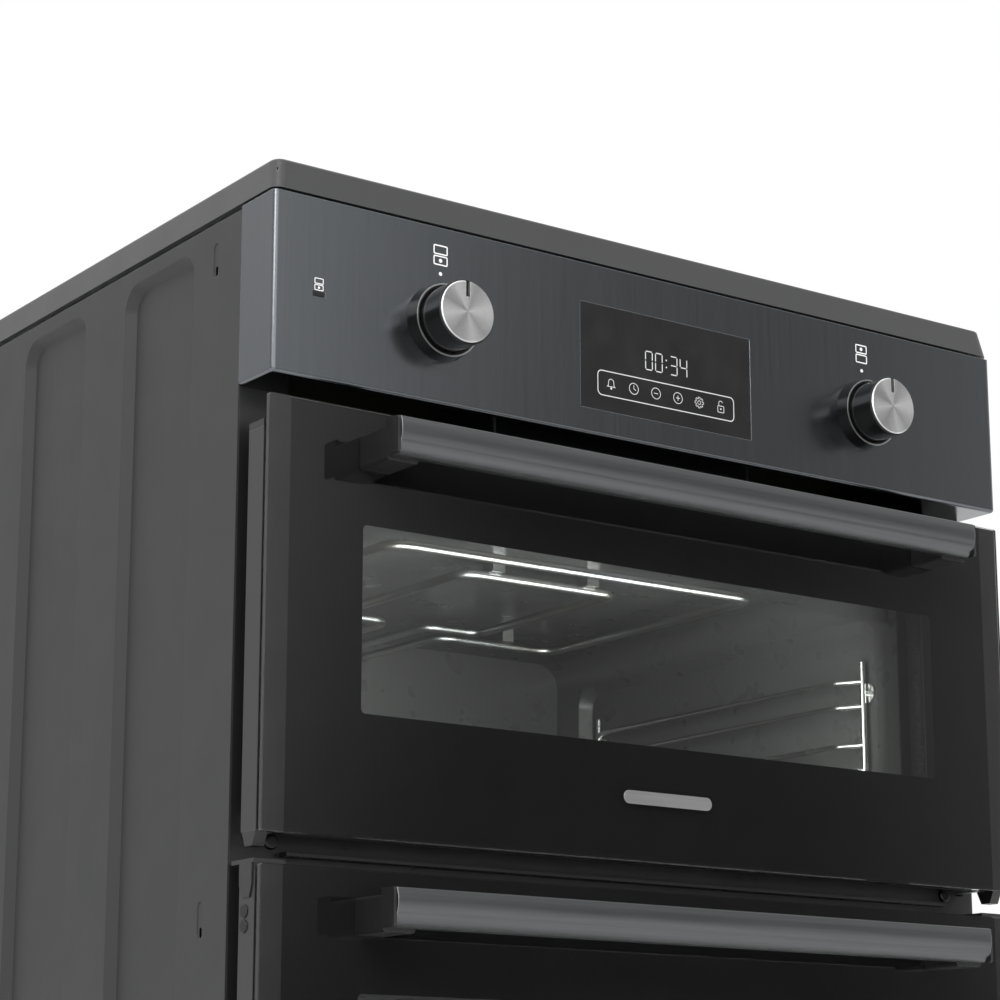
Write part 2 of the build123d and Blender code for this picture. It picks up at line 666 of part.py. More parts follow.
def side_rack(cavity, rails, y):
    """A chromed wire rack for the right wall: upright wires with pairs of long rails."""
    wall = CAVITY_WIDTH / 2 + CAVITY_EMBOSS
    post_x = wall - RACK_STANDOFF
    rail_x = post_x - 2 * RACK_WIRE - 5.6
    low = cavity[0] + 34.0
    high = max(rails) + 14.0
    rack = rod_z(post_x, y[0], RACK_WIRE, (low, high))
    rack += rod_z(post_x, y[1], RACK_WIRE, (low, high))
    rack += rod_y(post_x, low, RACK_WIRE, y)
    tip_x = post_x - 0.2
    bends = (y[0] + 18.0, y[1] - 18.0)
    for z in rails:
        run = [(tip_x, y[0], z), (rail_x, bends[0], z), (rail_x, bends[1], z), (tip_x, y[1], z)]
        rack += bent_wire(run, RAIL_BEND, RACK_WIRE)
    pin_z = high - 22.0
    for post_y in y:
        rack += rod_x(post_y, pin_z, 3.0, (post_x, wall))
        rack += rod_x(post_y, pin_z, RACK_WASHER, (wall - 3.5, wall))
    return rack


def rack_rails(cavity, levels):
    """Pairs of rail heights, spread over the oven's height."""
    step = (cavity[1] - cavity[0] - 90.0) / levels
    heights = []
    for level in range(levels):
        z = cavity[0] + 52.0 + step * level
        heights += [z, z + RAIL_PAIR]
    return heights


# ---------------------------------------------------------------- fans

def fan_baffle():
    """The pressed plate in front of the oven fan, with inlet slots and side vents."""
    centre = fan_centre()
    z = (max(LOWER_CAVITY[0] + 22.0, centre - 125.0), min(LOWER_CAVITY[1] - 22.0, centre + 125.0))
    x = (-CAVITY_WIDTH / 2 + 120.0, CAVITY_WIDTH / 2 - 40.0)
    y = (CAVITY_BACK - FAN_SPACE, CAVITY_BACK)
    baffle = facing_plate(x, y, z, 22.0)
    inner_x, inner_z = (x[0] + SHEET, x[1] - SHEET), (z[0] + SHEET, z[1] - SHEET)
    baffle -= facing_plate(inner_x, (y[0] + SHEET, y[1] + 1), inner_z, 21.0)
    through = (y[0] - 1, y[0] + SHEET + 1)
    for row in range(7):
        height = centre + (row - 3) * 15.0
        reach = math.sqrt(max(56.0 ** 2 - (height - centre) ** 2, 100.0))
        baffle -= facing_plate((-reach, reach), through, (height - 3, height + 3), 2.9)
    for side in (x[0] - 1, x[1] - SHEET - 1):
        for row in range(5):
            height = centre + (row - 2) * 34.0
            slot_y = (y[0] + 8, y[1] - 8)
            baffle -= block((side, side + SHEET + 2), slot_y, (height - 10, height + 10))
    return baffle


def convection_fan():
    """The oven fan: a disc with blades and its shaft."""
    centre = fan_centre()
    y = (CAVITY_BACK - FAN_SPACE + 6.0, CAVITY_BACK - FAN_SPACE + 6.0 + FAN_DEPTH)
    fan = rod_y(0, centre, FAN_RADIUS, (y[1] - SHEET, y[1]))
    for i in range(FAN_BLADES):
        blade = block((30.0, FAN_RADIUS - 1), (y[0], y[1] - 0.5), (-0.6, 0.6))
        fan += Pos(0, 0, centre) * Rot(0, 360.0 * i / FAN_BLADES, 0) * blade
    fan += rod_y(0, centre, 10.0, (y[0] + 4, y[1]))
    return fan + rod_y(0, centre, FAN_SHAFT, (y[0] + 4, CAVITY_BACK + LINER + 20.0))


def fan_motor():
    """The oven fan's motor behind the back wall, with a mounting plate."""
    centre = fan_centre()
    face = CAVITY_BACK + LINER
    motor = rod_y(0, centre, MOTOR_RADIUS, (face, face + MOTOR_DEPTH))
    lugs = (-MOTOR_RADIUS - 1, MOTOR_RADIUS + 1)
    motor += block(lugs, (face + 22.0, face + 30.0), (centre - 20, centre + 20))
    return motor - rod_y(0, centre, FAN_SHAFT + RUNNING, (face - 1, face + 24.0))



def blower_housing():
    """The cooling duct: a flat channel that blows out below the fascia."""
    wall = 1.2
    low = BLOWER_Z - BLOWER_RADIUS - 5.0
    x = (-BLOWER_HALF - 12.0, BLOWER_HALF + 12.0)
    box_z = (low, BLOWER_Z + BLOWER_RADIUS + 6.0)
    outer = block(x, (BLOWER_Y - BLOWER_RADIUS - 8, BLOWER_Y + BLOWER_RADIUS + 8), box_z)
    duct_z = (low, low + 22.0)
    outer += block(x, (FRAME_BACK + 6.0, BLOWER_Y), duct_z)
    inner_x = (x[0] + wall, x[1] - wall)
    core = block(
        inner_x,
        (BLOWER_Y - BLOWER_RADIUS - 8 + wall, BLOWER_Y + BLOWER_RADIUS + 8 - wall),
        (box_z[0] + wall, box_z[1] - wall),
    )
    core += block(inner_x, (FRAME_BACK, BLOWER_Y), (duct_z[0] + wall, duct_z[1] - wall))
    housing = outer - core
    housing -= block((-60, 60), (BLOWER_Y - 14, BLOWER_Y + 14), (box_z[1] - wall - 1, box_z[1] + 1))
    legs = ((x[0], x[0] + wall), (x[1] - wall, x[1]))
    for leg in legs:
        housing += block(leg, (BLOWER_Y - 30, BLOWER_Y + 30), (insulation_top(), low + 1))
    hole = FAN_SHAFT + RUNNING
    return housing - rod_x(BLOWER_Y, BLOWER_Z, hole, (x[0] - 1, x[1] + 1))


def insulation_top():
    """The top of the upper insulation, on which the cooling duct stands."""
    return UPPER_CAVITY[1] + LINER + 0.3 + INSULATION


def cooling_fan():
    """The cross-flow rotor: two discs, a ring of blades and a thin shaft."""
    ends = (-BLOWER_HALF, BLOWER_HALF)
    rotor = rod_x(BLOWER_Y, BLOWER_Z, BLOWER_RADIUS, (ends[0], ends[0] + 2))
    rotor += rod_x(BLOWER_Y, BLOWER_Z, BLOWER_RADIUS, (ends[1] - 2, ends[1]))
    rotor += rod_x(BLOWER_Y, BLOWER_Z, BLOWER_RADIUS, (-1, 1))
    for i in range(BLOWER_BLADES):
        blade = block(ends, (BLOWER_RADIUS - 7, BLOWER_RADIUS - 0.5), (-0.5, 0.5))
        rotor += Pos(0, BLOWER_Y, BLOWER_Z) * Rot(360.0 * i / BLOWER_BLADES, 0, 0) * blade
    return rotor + rod_x(BLOWER_Y, BLOWER_Z, FAN_SHAFT, (ends[0] - 16.0, ends[1] + 16.0))


# ---------------------------------------------------------------- fascia and controls

def control_fascia():
    """The folded control panel: rounded lower and side edges, with openings for the controls."""
    z = (FASCIA_BOTTOM, FASCIA_TOP)
    shell = block((-HALF, HALF), (FRONT, PANEL_FRONT), z)
    uprights = shell.edges().filter_by(Axis.Z).group_by(Axis.Y)[0]
    shell = fillet(uprights, 3.0)
    front_edges = shell.faces().sort_by(Axis.Z)[0].edges().group_by(Axis.Y)[0]
    shell = fillet(front_edges, 2.5)
    wall = FRAME_SHEET
    hollow_x = (-HALF + wall, HALF - wall)
    shell -= block(hollow_x, (FRONT + wall, PANEL_FRONT + 1), (z[0] + wall, z[1] - wall))
    through = (FRONT - 1, FRONT + wall + 1)
    for x in KNOB_X:
        shell -= rod_y(x, KNOB_Z, SPINDLE_RADIUS + 3.0, through)
    shell -= block(*display_limits(0.0, through))
    pilot_z = FASCIA_TOP - PILOT_DROP
    half = (PILOT_WIDTH / 2, PILOT_HEIGHT / 2)
    pilot_x = (PILOT_X - half[0], PILOT_X + half[0])
    return shell - block(pilot_x, through, (pilot_z - half[1], pilot_z + half[1]))


def display_limits(grow, y):
    """The limits of the display window, grown on every side."""
    x = (-DISPLAY_WIDTH / 2 - grow, DISPLAY_WIDTH / 2 + grow)
    top = FASCIA_TOP - DISPLAY_TOP_DROP
    return x, y, (top - DISPLAY_HEIGHT - grow, top + grow)


def display_glass():
    """The flush dark display window, with a lip behind the panel."""
    fit = -0.15
    pane = block(*display_limits(fit, (FRONT, FRONT + FRAME_SHEET)))
    return pane + block(*display_limits(4.0, (FRONT + FRAME_SHEET, FRONT + FRAME_SHEET + 1.8)))


def timer_module():
    """The clock and touch-key board in its tray, behind the display."""
    back = FRONT + FRAME_SHEET + 1.8
    tray = block(*display_limits(6.0, (back, back + 24.0)))
    pocket = block(*display_limits(3.0, (back - 1, back + 10.0)))
    board = block(*display_limits(3.0, (back + 8.0, back + 10.0)))
    return tray - pocket + board


def pilot_lens():
    """The small lens of the hob's pilot lamp, with its lamp body behind."""
    z = FASCIA_TOP - PILOT_DROP
    fit = 0.1
    half = (PILOT_WIDTH / 2 - fit, PILOT_HEIGHT / 2 - fit)
    x = (PILOT_X - half[0], PILOT_X + half[0])
    lens = block(x, (FRONT - 0.3, FRONT + FRAME_SHEET + 0.2), (z - half[1], z + half[1]))
    lamp_x = (PILOT_X - 6, PILOT_X + 6)
    return lens + block(lamp_x, (FRONT + FRAME_SHEET, FRONT + FRAME_SHEET + 14), (z - 4, z + 4))


def knob_bezel(x):
    """The tapered ring that a knob sits in."""
    taper = Pos(x, FRONT - BEZEL_DEPTH / 2, KNOB_Z) * Rot(90, 0, 0)
    ring = taper * Cone(BEZEL_RADIUS, BEZEL_FRONT_RADIUS, BEZEL_DEPTH)
    ring -= rod_y(x, KNOB_Z, KNOB_RADIUS + KNOB_GAP, (FRONT - BEZEL_DEPTH - 1, FRONT - 2.0))
    return ring - rod_y(x, KNOB_Z, SPINDLE_RADIUS + 3.0, (FRONT - BEZEL_DEPTH, FRONT + 1))


def knob(x):
    """A round knob with a pointer rib and its spindle, recessed in front for its cap."""
    back = FRONT - 2.0 - KNOB_GAP
    front = FRONT - KNOB_FRONT
    body = rod_y(x, KNOB_Z, KNOB_RADIUS, (front, back))
    body = fillet(body.edges().group_by(Axis.Y)[0], KNOB_EDGE)
    body -= rod_y(x, KNOB_Z, KNOB_RADIUS - CAP_MARGIN, (front - 1, front + KNOB_CAP))
    groove_z = KNOB_Z + KNOB_RADIUS - POINTER_LENGTH
    groove_x = (x - POINTER_WIDTH / 2, x + POINTER_WIDTH / 2)
    groove = block(groove_x, (front, front + 4), (groove_z, KNOB_Z + KNOB_RADIUS - CAP_MARGIN / 2))
    spindle = rod_y(x, KNOB_Z, SPINDLE_RADIUS, (back - 1, FRONT + FRAME_SHEET + SWITCH_DEPTH - 6.0))
    return body + groove + spindle


def knob_cap(x):
    """The thin spun-metal disc on a knob's face, slotted for the pointer."""
    front = FRONT - KNOB_FRONT
    radius = KNOB_RADIUS - CAP_MARGIN - CAP_FIT
    disc = rod_y(x, KNOB_Z, radius, (front - CAP_PROUD, front + KNOB_CAP))
    disc = chamfer(disc.edges().group_by(Axis.Y)[0], CAP_CHAMFER)
    groove_z = KNOB_Z + KNOB_RADIUS - POINTER_LENGTH - 0.1
    width = POINTER_WIDTH / 2 + 0.1
    cut_y = (front - CAP_PROUD - 1, front + 5)
    return disc - block((x - width, x + width), cut_y, (groove_z, KNOB_Z + 30.0))


def rotary_switch(x):
    """A switch body behind the fascia, which the knob's spindle turns in."""
    face = FRONT + FRAME_SHEET
    body = block((x - 21, x + 21), (face, face + SWITCH_DEPTH), (KNOB_Z - 21, KNOB_Z + 21))
    body = fillet(body.edges().filter_by(Axis.Y), 4.0)
    bore = SPINDLE_RADIUS + RUNNING
    body -= rod_y(x, KNOB_Z, bore, (face - 1, face + SWITCH_DEPTH - 5.0))
    for i in range(4):
        tab_x = x - 15 + 10 * i
        tab_y = (face + SWITCH_DEPTH - 1, face + SWITCH_DEPTH + 7)
        body += block((tab_x - 3, tab_x + 3), tab_y, (KNOB_Z + 14, KNOB_Z + 15))
    return body


# ---------------------------------------------------------------- doors

def door_glass(bottom, top):
    """The full-width outer pane."""
    pane = facing_plate((-HALF, HALF), (FRONT, FRONT + DOOR_GLASS), (bottom, top), 1.5)
    return chamfer(pane.faces().sort_by(Axis.Y)[0].edges(), 0.5)


def channel_x():
    """The limits across the right door channel."""
    outer = HALF - SIDE_INSET
    return (outer - CHANNEL_WIDTH, outer)


def door_channel(bottom, top):
    """The right side channel of a door, open at the hinge, with a nose that holds the glass."""
    x = channel_x()
    y = (DOOR_FRAME_FRONT, DOOR_BACK)
    z = (bottom + 1.3, top - CAP_HEIGHT)
    wall = CHANNEL_WALL
    channel = block(x, y, z)
    inner_x = (x[0] + wall, x[1] - wall)
    channel -= block(inner_x, (y[0] + wall, y[1] - wall), (z[0] - 1, z[1] + 1))
    open_z = bottom + PIVOT_RISE + TONGUE_RADIUS + 5.0
    channel -= block(inner_x, (y[0] + wall, y[1] + 1), (z[0] - 1, open_z))
    channel -= block((x[0] - 1, x[0] + wall + 1), (PIVOT_Y - 9, y[1] + 1), (z[0] - 1, open_z))
    nose = (x[0] + 1, x[1] - 5)
    return channel + block(nose, (FRONT + DOOR_GLASS, y[0]), z)


def door_rail(z):
    """A cross profile between the side channels, in front of the inner pane."""
    inner = channel_x()[0]
    y = (FRONT + DOOR_GLASS, DOOR_BACK - INNER_GLASS)
    rail = block((-inner, inner), (DOOR_FRAME_FRONT, y[1]), z)
    hollow = (DOOR_FRAME_FRONT + CHANNEL_WALL, y[1] - CHANNEL_WALL)
    rail -= block((-inner - 1, inner + 1), hollow, (z[0] + CHANNEL_WALL, z[1] - CHANNEL_WALL))
    return rail + block((-inner, inner), (y[0], DOOR_FRAME_FRONT), (z[0] + 3, z[1] - 3))


def door_frame(bottom, top):
    """The four profiles of a door's frame."""
    channel = door_channel(bottom, top)
    lower = door_rail((bottom + 1.3, bottom + 1.3 + RAIL_HEIGHT))
    upper = door_rail((top - RAIL_HEIGHT, top))
    return channel, mirrored(channel), lower, upper


def inner_pane(bottom, top):
    """The inner pane, which lies against the back of the rails."""
    half = channel_x()[0] - 0.3
    y = (DOOR_BACK - INNER_GLASS, DOOR_BACK)
    return facing_plate((-half, half), y, (bottom + 2.0, top), 4.0)


def end_caps(bottom, top, flange_above):
    """The moulded caps on a channel's two ends; the lower door's top cap wraps the corner."""
    x = channel_x()
    y = (DOOR_FRAME_FRONT, DOOR_BACK)
    upper = block(x, y, (top - CAP_HEIGHT, top))
    if flange_above:
        lip = (top, top + 2.4)
        upper += block((x[1] - 20.0, HALF), (DOOR_FRAME_FRONT, DOOR_BACK + 8.0), lip)
        tongue_y = (DOOR_FRAME_FRONT + 2.0, DOOR_BACK - 1.0)
        plane = Plane(origin=(x[1], 0, 0), x_dir=(0, 1, 0), z_dir=(1, 0, 0))
        low = top - 19.5
        shoulder = top - 12.0
        outline = Polyline(
            (tongue_y[0], top),
            (tongue_y[1], top),
            (tongue_y[1], shoulder),
            (tongue_y[1] - 3.5, low),
            (tongue_y[0] + 2.5, low),
            (tongue_y[0], shoulder),
            close=True,
        )
        upper += extrude(plane * make_face(outline), amount=HALF - x[1])
    foot = (bottom - 7.2, bottom + 1.3)
    lower_x = (x[1] - 8.0, x[1])
    plane = Plane(origin=(lower_x[0], 0, 0), x_dir=(0, 1, 0), z_dir=(1, 0, 0))
    outline = Polyline(
        (y[0], foot[1]),
        (y[1] - 1, foot[1]),
        (y[1] - 5, foot[0]),
        (y[0] + 4, foot[0]),
        close=True,
    )
    lower = extrude(plane * make_face(outline), amount=lower_x[1] - lower_x[0])
    return upper, mirrored(upper), lower, mirrored(lower)


def handle_bar(top):
    """The handle's rounded bar."""
    half = BAR_LENGTH / 2
    y = (FRONT - HANDLE_REACH, FRONT - HANDLE_REACH + BAR_DEPTH)
    z = (top - BAR_TOP_DROP - BAR_HEIGHT, top - BAR_TOP_DROP)
    bulge = 1.2
    plane = Plane(origin=(-half, 0, 0), x_dir=(0, 1, 0), z_dir=(1, 0, 0))
    lower = 8.0
    outline = [
        Line((y[1], z[0]), (y[1], z[1])),
        Line((y[1], z[1]), (y[0] + bulge + 1.5, z[1])),
        ThreePointArc(
            (y[0] + bulge + 1.5, z[1]),
            (y[0] + bulge + 0.45, z[1] - 0.45),
            (y[0] + bulge, z[1] - 1.5),
        ),
        ThreePointArc(
            (y[0] + bulge, z[1] - 1.5),
            (y[0], (z[0] + lower + z[1] - 1.5) / 2),
            (y[0] + bulge, z[0] + lower),
        ),
        ThreePointArc(
            (y[0] + bulge, z[0] + lower),
            (y[0] + bulge + 2.6, z[0] + 2.4),
            (y[0] + bulge + 7.0, z[0]),
        ),
        Line((y[0] + bulge + 7.0, z[0]), (y[1], z[0])),
    ]
    return extrude(plane * make_face(Curve() + outline), amount=BAR_LENGTH)


def handle_leg(top):
    """The right leg: a block from the glass to the bar, with a cap plate on the bar's end."""
    half = BAR_LENGTH / 2
    z = (top - BAR_TOP_DROP - BAR_HEIGHT, top - BAR_TOP_DROP)
    bar_back = FRONT - HANDLE_REACH + BAR_DEPTH
    leg = block((half - LEG_LENGTH, half + 2.0), (bar_back, FRONT), (z[0] - 2.5, z[1] - 3.5))
    leg = fillet(leg.edges().filter_by(Axis.Y), 2.0)
    cap = block((half, half + 2.0), (FRONT - HANDLE_REACH + 1.5, bar_back + 2.0), z)
    cap = fillet(cap.edges().filter_by(Axis.X).group_by(Axis.Y)[0], 2.0)
    return leg + cap


def handle_legs(top):
    """Both legs."""
    leg = handle_leg(top)
    return leg, mirrored(leg)


# ---------------------------------------------------------------- hinges

def hinge_arm(bottom):
    """The right door arm: a folded U in the channel, with an eye round the pin in each cheek."""
    x = channel_x()
    tongue = hinge_x()
    z = bottom + PIVOT_RISE
    inner = (tongue[0] - 0.6 - ARM_SHEET, tongue[0] - 0.6)
    outer = (x[1] - CHANNEL_WALL - ARM_SHEET, x[1] - CHANNEL_WALL)
    front = DOOR_FRAME_FRONT + CHANNEL_WALL
    web_z = (z + TONGUE_RADIUS + 3.0, z + ARM_LENGTH)
    arm = block((inner[0], outer[1]), (front, front + ARM_SHEET), web_z)
    for cheek in (inner, outer):
        arm += block(cheek, (front, PIVOT_Y + 4.5), (z - 3.5, web_z[1]))
    return arm - rod_x(PIVOT_Y, z, PIN_RADIUS + RUNNING, (inner[0] - 1, outer[1] + 1))


def hinge_bracket(bottom):
    """The right hinge: a receiver behind the front frame, a tongue and the pivot pin."""
    tongue = hinge_x()
    z = bottom + PIVOT_RISE
    reach = FRAME_BACK + FRAME_DEPTH
    plate = block(tongue, (PIVOT_Y, reach), (z - TONGUE_RADIUS, z + TONGUE_RADIUS))
    plate += rod_x(PIVOT_Y, z, TONGUE_RADIUS, tongue)
    pin_x = (tongue[0] - 0.6 - ARM_SHEET + 0.2, channel_x()[1] - CHANNEL_WALL - 0.2)
    plate += rod_x(PIVOT_Y, z, PIN_RADIUS, pin_x)
    wall = 1.5
    box_x = (tongue[0] - 9.0, HALF - SHEET - RECESS_DEPTH - 0.5)
    box_y = (FRAME_BACK, FRAME_BACK + RECEIVER_DEPTH)
    box_z = (z - TONGUE_RADIUS - 5.0, z - TONGUE_RADIUS - 5.0 + RECEIVER_HEIGHT)
    receiver = block(box_x, box_y, box_z)
    core_x = (box_x[0] + wall, box_x[1] - wall)
    receiver -= block(core_x, (box_y[0] - 1, box_y[1] - wall), (box_z[0] + wall, box_z[1] - wall))
    web = block((box_x[0] + wall - 0.1, box_x[1] - wall + 0.1), (reach - 3.0, reach), (z - 5, z + 5))
    return receiver + plate + web


def hinge_spring(bottom):
    """The open-wound spring in the right receiver, at its rest length, its wire drawn with flats."""
    x = hinge_x()[0] - 0.75
    z = bottom + PIVOT_RISE + 4.0
    start = FRAME_BACK + 26.0
    path = Helix(pitch=SPRING_PITCH, height=SPRING_PITCH * SPRING_TURNS, radius=SPRING_RADIUS)
    section = Plane(origin=path @ 0, z_dir=path % 0) * RegularPolygon(SPRING_WIRE, WIRE_FLATS)
    coil = sweep(section, path=path)
    return Pos(x, start + SPRING_PITCH * SPRING_TURNS, z) * Rot(90, 0, 0) * coil


def four(maker):
    """One hinge piece at each lower corner of both doors."""
    pieces = []
    for bottom in (UPPER_BOTTOM, LOWER_BOTTOM):
        piece = maker(bottom)
        pieces += [piece, mirrored(piece)]
    return pieces


# ---------------------------------------------------------------- electrical entry and screws

def terminal_cover():
    """The shallow box on the back that covers the supply terminals, open at the bottom gland."""
    wall = 1.5
    x = (TERMINAL_X - 60, TERMINAL_X + 60)
    y = (BACK_INNER + SHEET, BACK - 0.5)
    z = (TERMINAL_Z - 50, TERMINAL_Z + 50)
    cover = block(x, y, z)
    cover = fillet(cover.edges().filter_by(Axis.Z).group_by(Axis.Y)[-1], 3.0)
    cover -= block((x[0] + wall, x[1] - wall), (y[0] - 1, y[1] - wall), (z[0] + wall, z[1] - wall))
    gland_y = (BACK_INNER + SHEET + BACK) / 2
    return cover - rod_z(TERMINAL_X, gland_y, GLAND_BORE - 1.5, (z[0] - 1, z[0] + wall + 1))


def cable_gland():
    """The gland under the terminal cover."""
    y = (BACK_INNER + SHEET + BACK) / 2
    z = TERMINAL_Z - 50
    ring = rod_z(TERMINAL_X, y, GLAND_BORE, (z - GLAND_LENGTH, z))
    return ring - rod_z(TERMINAL_X, y, GLAND_BORE - 2.0, (z - GLAND_LENGTH - 1, z + 1))


def terminal_block():
    """The moulded terminal block with its brass-coloured studs."""
    y = (BACK_INNER + SHEET, BACK_INNER + SHEET + 9.0)
    body = block((TERMINAL_X - 40, TERMINAL_X + 40), y, (TERMINAL_Z - 12, TERMINAL_Z + 16))
    for i in range(5):
        x = TERMINAL_X - 30 + 15 * i
        body -= block((x - 5, x + 5), (y[1] - 4, y[1] + 1), (TERMINAL_Z - 13, TERMINAL_Z + 10))
        body += rod_y(x, TERMINAL_Z, 2.5, (y[1] - 5, y[1] + 3))
    return body


def screw_side(y, z):
    """A dome-headed screw on the right door channel."""
    x = channel_x()[1]
    head = rod_x(y, z, 4.0, (x, x + 0.9))
    return fillet(head.edges().group_by(Axis.X)[-1], 0.7)


def door_screws(top):
    """Two dome-headed screws on each side channel of a door."""
    pieces = []
    for drop in (26.0, 34.5):
        screw = screw_side(DOOR_FRAME_FRONT + 11.0, top - drop)
        pieces += [screw, mirrored(screw)]
    return pieces


def panel_screws():
    """The screws on the front frame's cross member and on the back panel."""
    pieces = []
    slot = hinge_x()
    for side in (-1, 1):
        x = side * (slot[0] - 12.0)
        z = UPPER_BOTTOM - 1.0
        head = rod_y(x, z, 4.6, (PANEL_FRONT - 2.4, PANEL_FRONT))
        pieces.append(fillet(head.edges().group_by(Axis.Y)[0], 1.4))
        for height in (HEIGHT * 0.12, HEIGHT * 0.5, HEIGHT * 0.9):
            back_x = side * (HALF - 18.0)
            face = BACK_INNER + SHEET
            head = rod_y(back_x, height, 4.2, (face, face + 2.2))
            pieces.append(fillet(head.edges().group_by(Axis.Y)[-1], 1.4))
    return pieces


def build_carcass():
    """Writes the fixed pieces."""
    panel = side_panel()
    save("left_side_panel", panel)
    save("right_side_panel", mirrored(panel))
    save("back_panel", back_panel())
    save("base_pan", base_pan())
    save("plinth", plinth())
    save("front_frame", front_frame())
    save("hob_frame", hob_frame())
    save("hob_glass", hob_glass())
    save("hob_tray", hob_tray())
    save("heater_dishes", *[heater_dish(zone) for zone in ZONES])
    save("heater_coils", *[ring for zone in ZONES for ring in heater_coil(zone)])
    save("upper_oven_liner", upper_liner())
    save("lower_oven_liner", lower_liner())
    save("oven_insulation", *insulation())
    save("door_seals", seal_ring(UPPER_CAVITY), seal_ring(LOWER_CAVITY))
    save("terminal_cover", terminal_cover())
    save("cable_gland", cable_gland())
    save("terminal_block", terminal_block())
    save("panel_screws", *panel_screws())


def build_oven_fittings():
    """Writes what is fixed inside the ovens and above them."""
    save("grill_element", *grill_element())
    save("tubular_elements", *tubular_elements())
    save("oven_lamps", *[oven_lamp(place) for place in lamp_places()])
    rack_y = (FRAME_BACK + 38.0, CAVITY_BACK - 54.0)
    for name, cavity, levels in (("upper", UPPER_CAVITY, 2), ("lower", LOWER_CAVITY, 4)):
        rack = side_rack(cavity, rack_rails(cavity, levels), rack_y)
        save(f"{name}_side_racks", rack, mirrored(rack))
    save("fan_baffle", fan_baffle())
    save("fan_motor", fan_motor())
    save("convection_fan", convection_fan())
    save("cooling_fan_housing", blower_housing())
    save("cooling_fan", cooling_fan())


def build_controls():
    """Writes the control panel and what is on it."""
    save("control_fascia", control_fascia())
    save("display_glass", display_glass())
    save("timer_module", timer_module())
    save("pilot_lens", pilot_lens())
    save("knob_bezels", *[knob_bezel(x) for x in KNOB_X])
    save("rotary_switches", *[rotary_switch(x) for x in KNOB_X])
    for side, x in zip(("left", "right"), KNOB_X):
        save(f"{side}_knob", knob(x))
        save(f"{side}_knob_cap", knob_cap(x))


def build_door(name, bottom, top, frame_top, flange_above):
    """Writes one door."""
    save(f"{name}_door_glass", door_glass(bottom, top))
    save(f"{name}_door_frame", *door_frame(bottom, frame_top))
    save(f"{name}_door_inner_glass", inner_pane(bottom, frame_top - CAP_HEIGHT))
    save(f"{name}_door_end_caps", *end_caps(bottom, frame_top, flange_above))
    save(f"{name}_handle_bar", handle_bar(top))
    save(f"{name}_handle_legs", *handle_legs(top))
    arm = hinge_arm(bottom)
    save(f"{name}_hinge_arms", arm, mirrored(arm))


def build_feet():
    """Writes the four levelling feet."""
    for side, x in (("left", -FOOT_X), ("right", FOOT_X)):
        for end, y in zip(("front", "rear"), FOOT_Y):
            save(f"{end}_{side}_foot", foot(x, y))


build_carcass()
build_oven_fittings()
build_controls()
build_door("upper", UPPER_BOTTOM, UPPER_TOP, UPPER_TOP - FRAME_TOP_DROP, False)
build_door("lower", LOWER_BOTTOM, LOWER_TOP, LOWER_TOP + 1.0, True)
save("door_screws", *door_screws(LOWER_TOP))
save("hinge_brackets", *four(hinge_bracket))
save("hinge_springs", *four(hinge_spring))
build_feet()
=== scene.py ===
import math

import bmesh
import bpy
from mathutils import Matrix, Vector


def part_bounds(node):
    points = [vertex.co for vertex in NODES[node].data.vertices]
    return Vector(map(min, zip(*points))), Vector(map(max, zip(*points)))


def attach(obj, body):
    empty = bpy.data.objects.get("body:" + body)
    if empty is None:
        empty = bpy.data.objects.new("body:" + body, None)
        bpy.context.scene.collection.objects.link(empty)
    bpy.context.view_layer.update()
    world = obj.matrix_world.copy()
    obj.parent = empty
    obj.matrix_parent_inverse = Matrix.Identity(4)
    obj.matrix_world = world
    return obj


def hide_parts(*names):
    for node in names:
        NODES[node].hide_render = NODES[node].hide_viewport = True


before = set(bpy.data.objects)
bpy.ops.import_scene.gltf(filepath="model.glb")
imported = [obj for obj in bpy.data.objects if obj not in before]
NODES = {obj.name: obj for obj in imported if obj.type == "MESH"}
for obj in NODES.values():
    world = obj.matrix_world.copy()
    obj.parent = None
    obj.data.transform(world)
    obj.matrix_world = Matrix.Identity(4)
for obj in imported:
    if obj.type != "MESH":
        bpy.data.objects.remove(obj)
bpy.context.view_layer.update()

# Double oven cooker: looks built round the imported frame. Metres, +Z up, the front faces -Y.

MM = 0.001


# ---------------------------------------------------------------- finishes

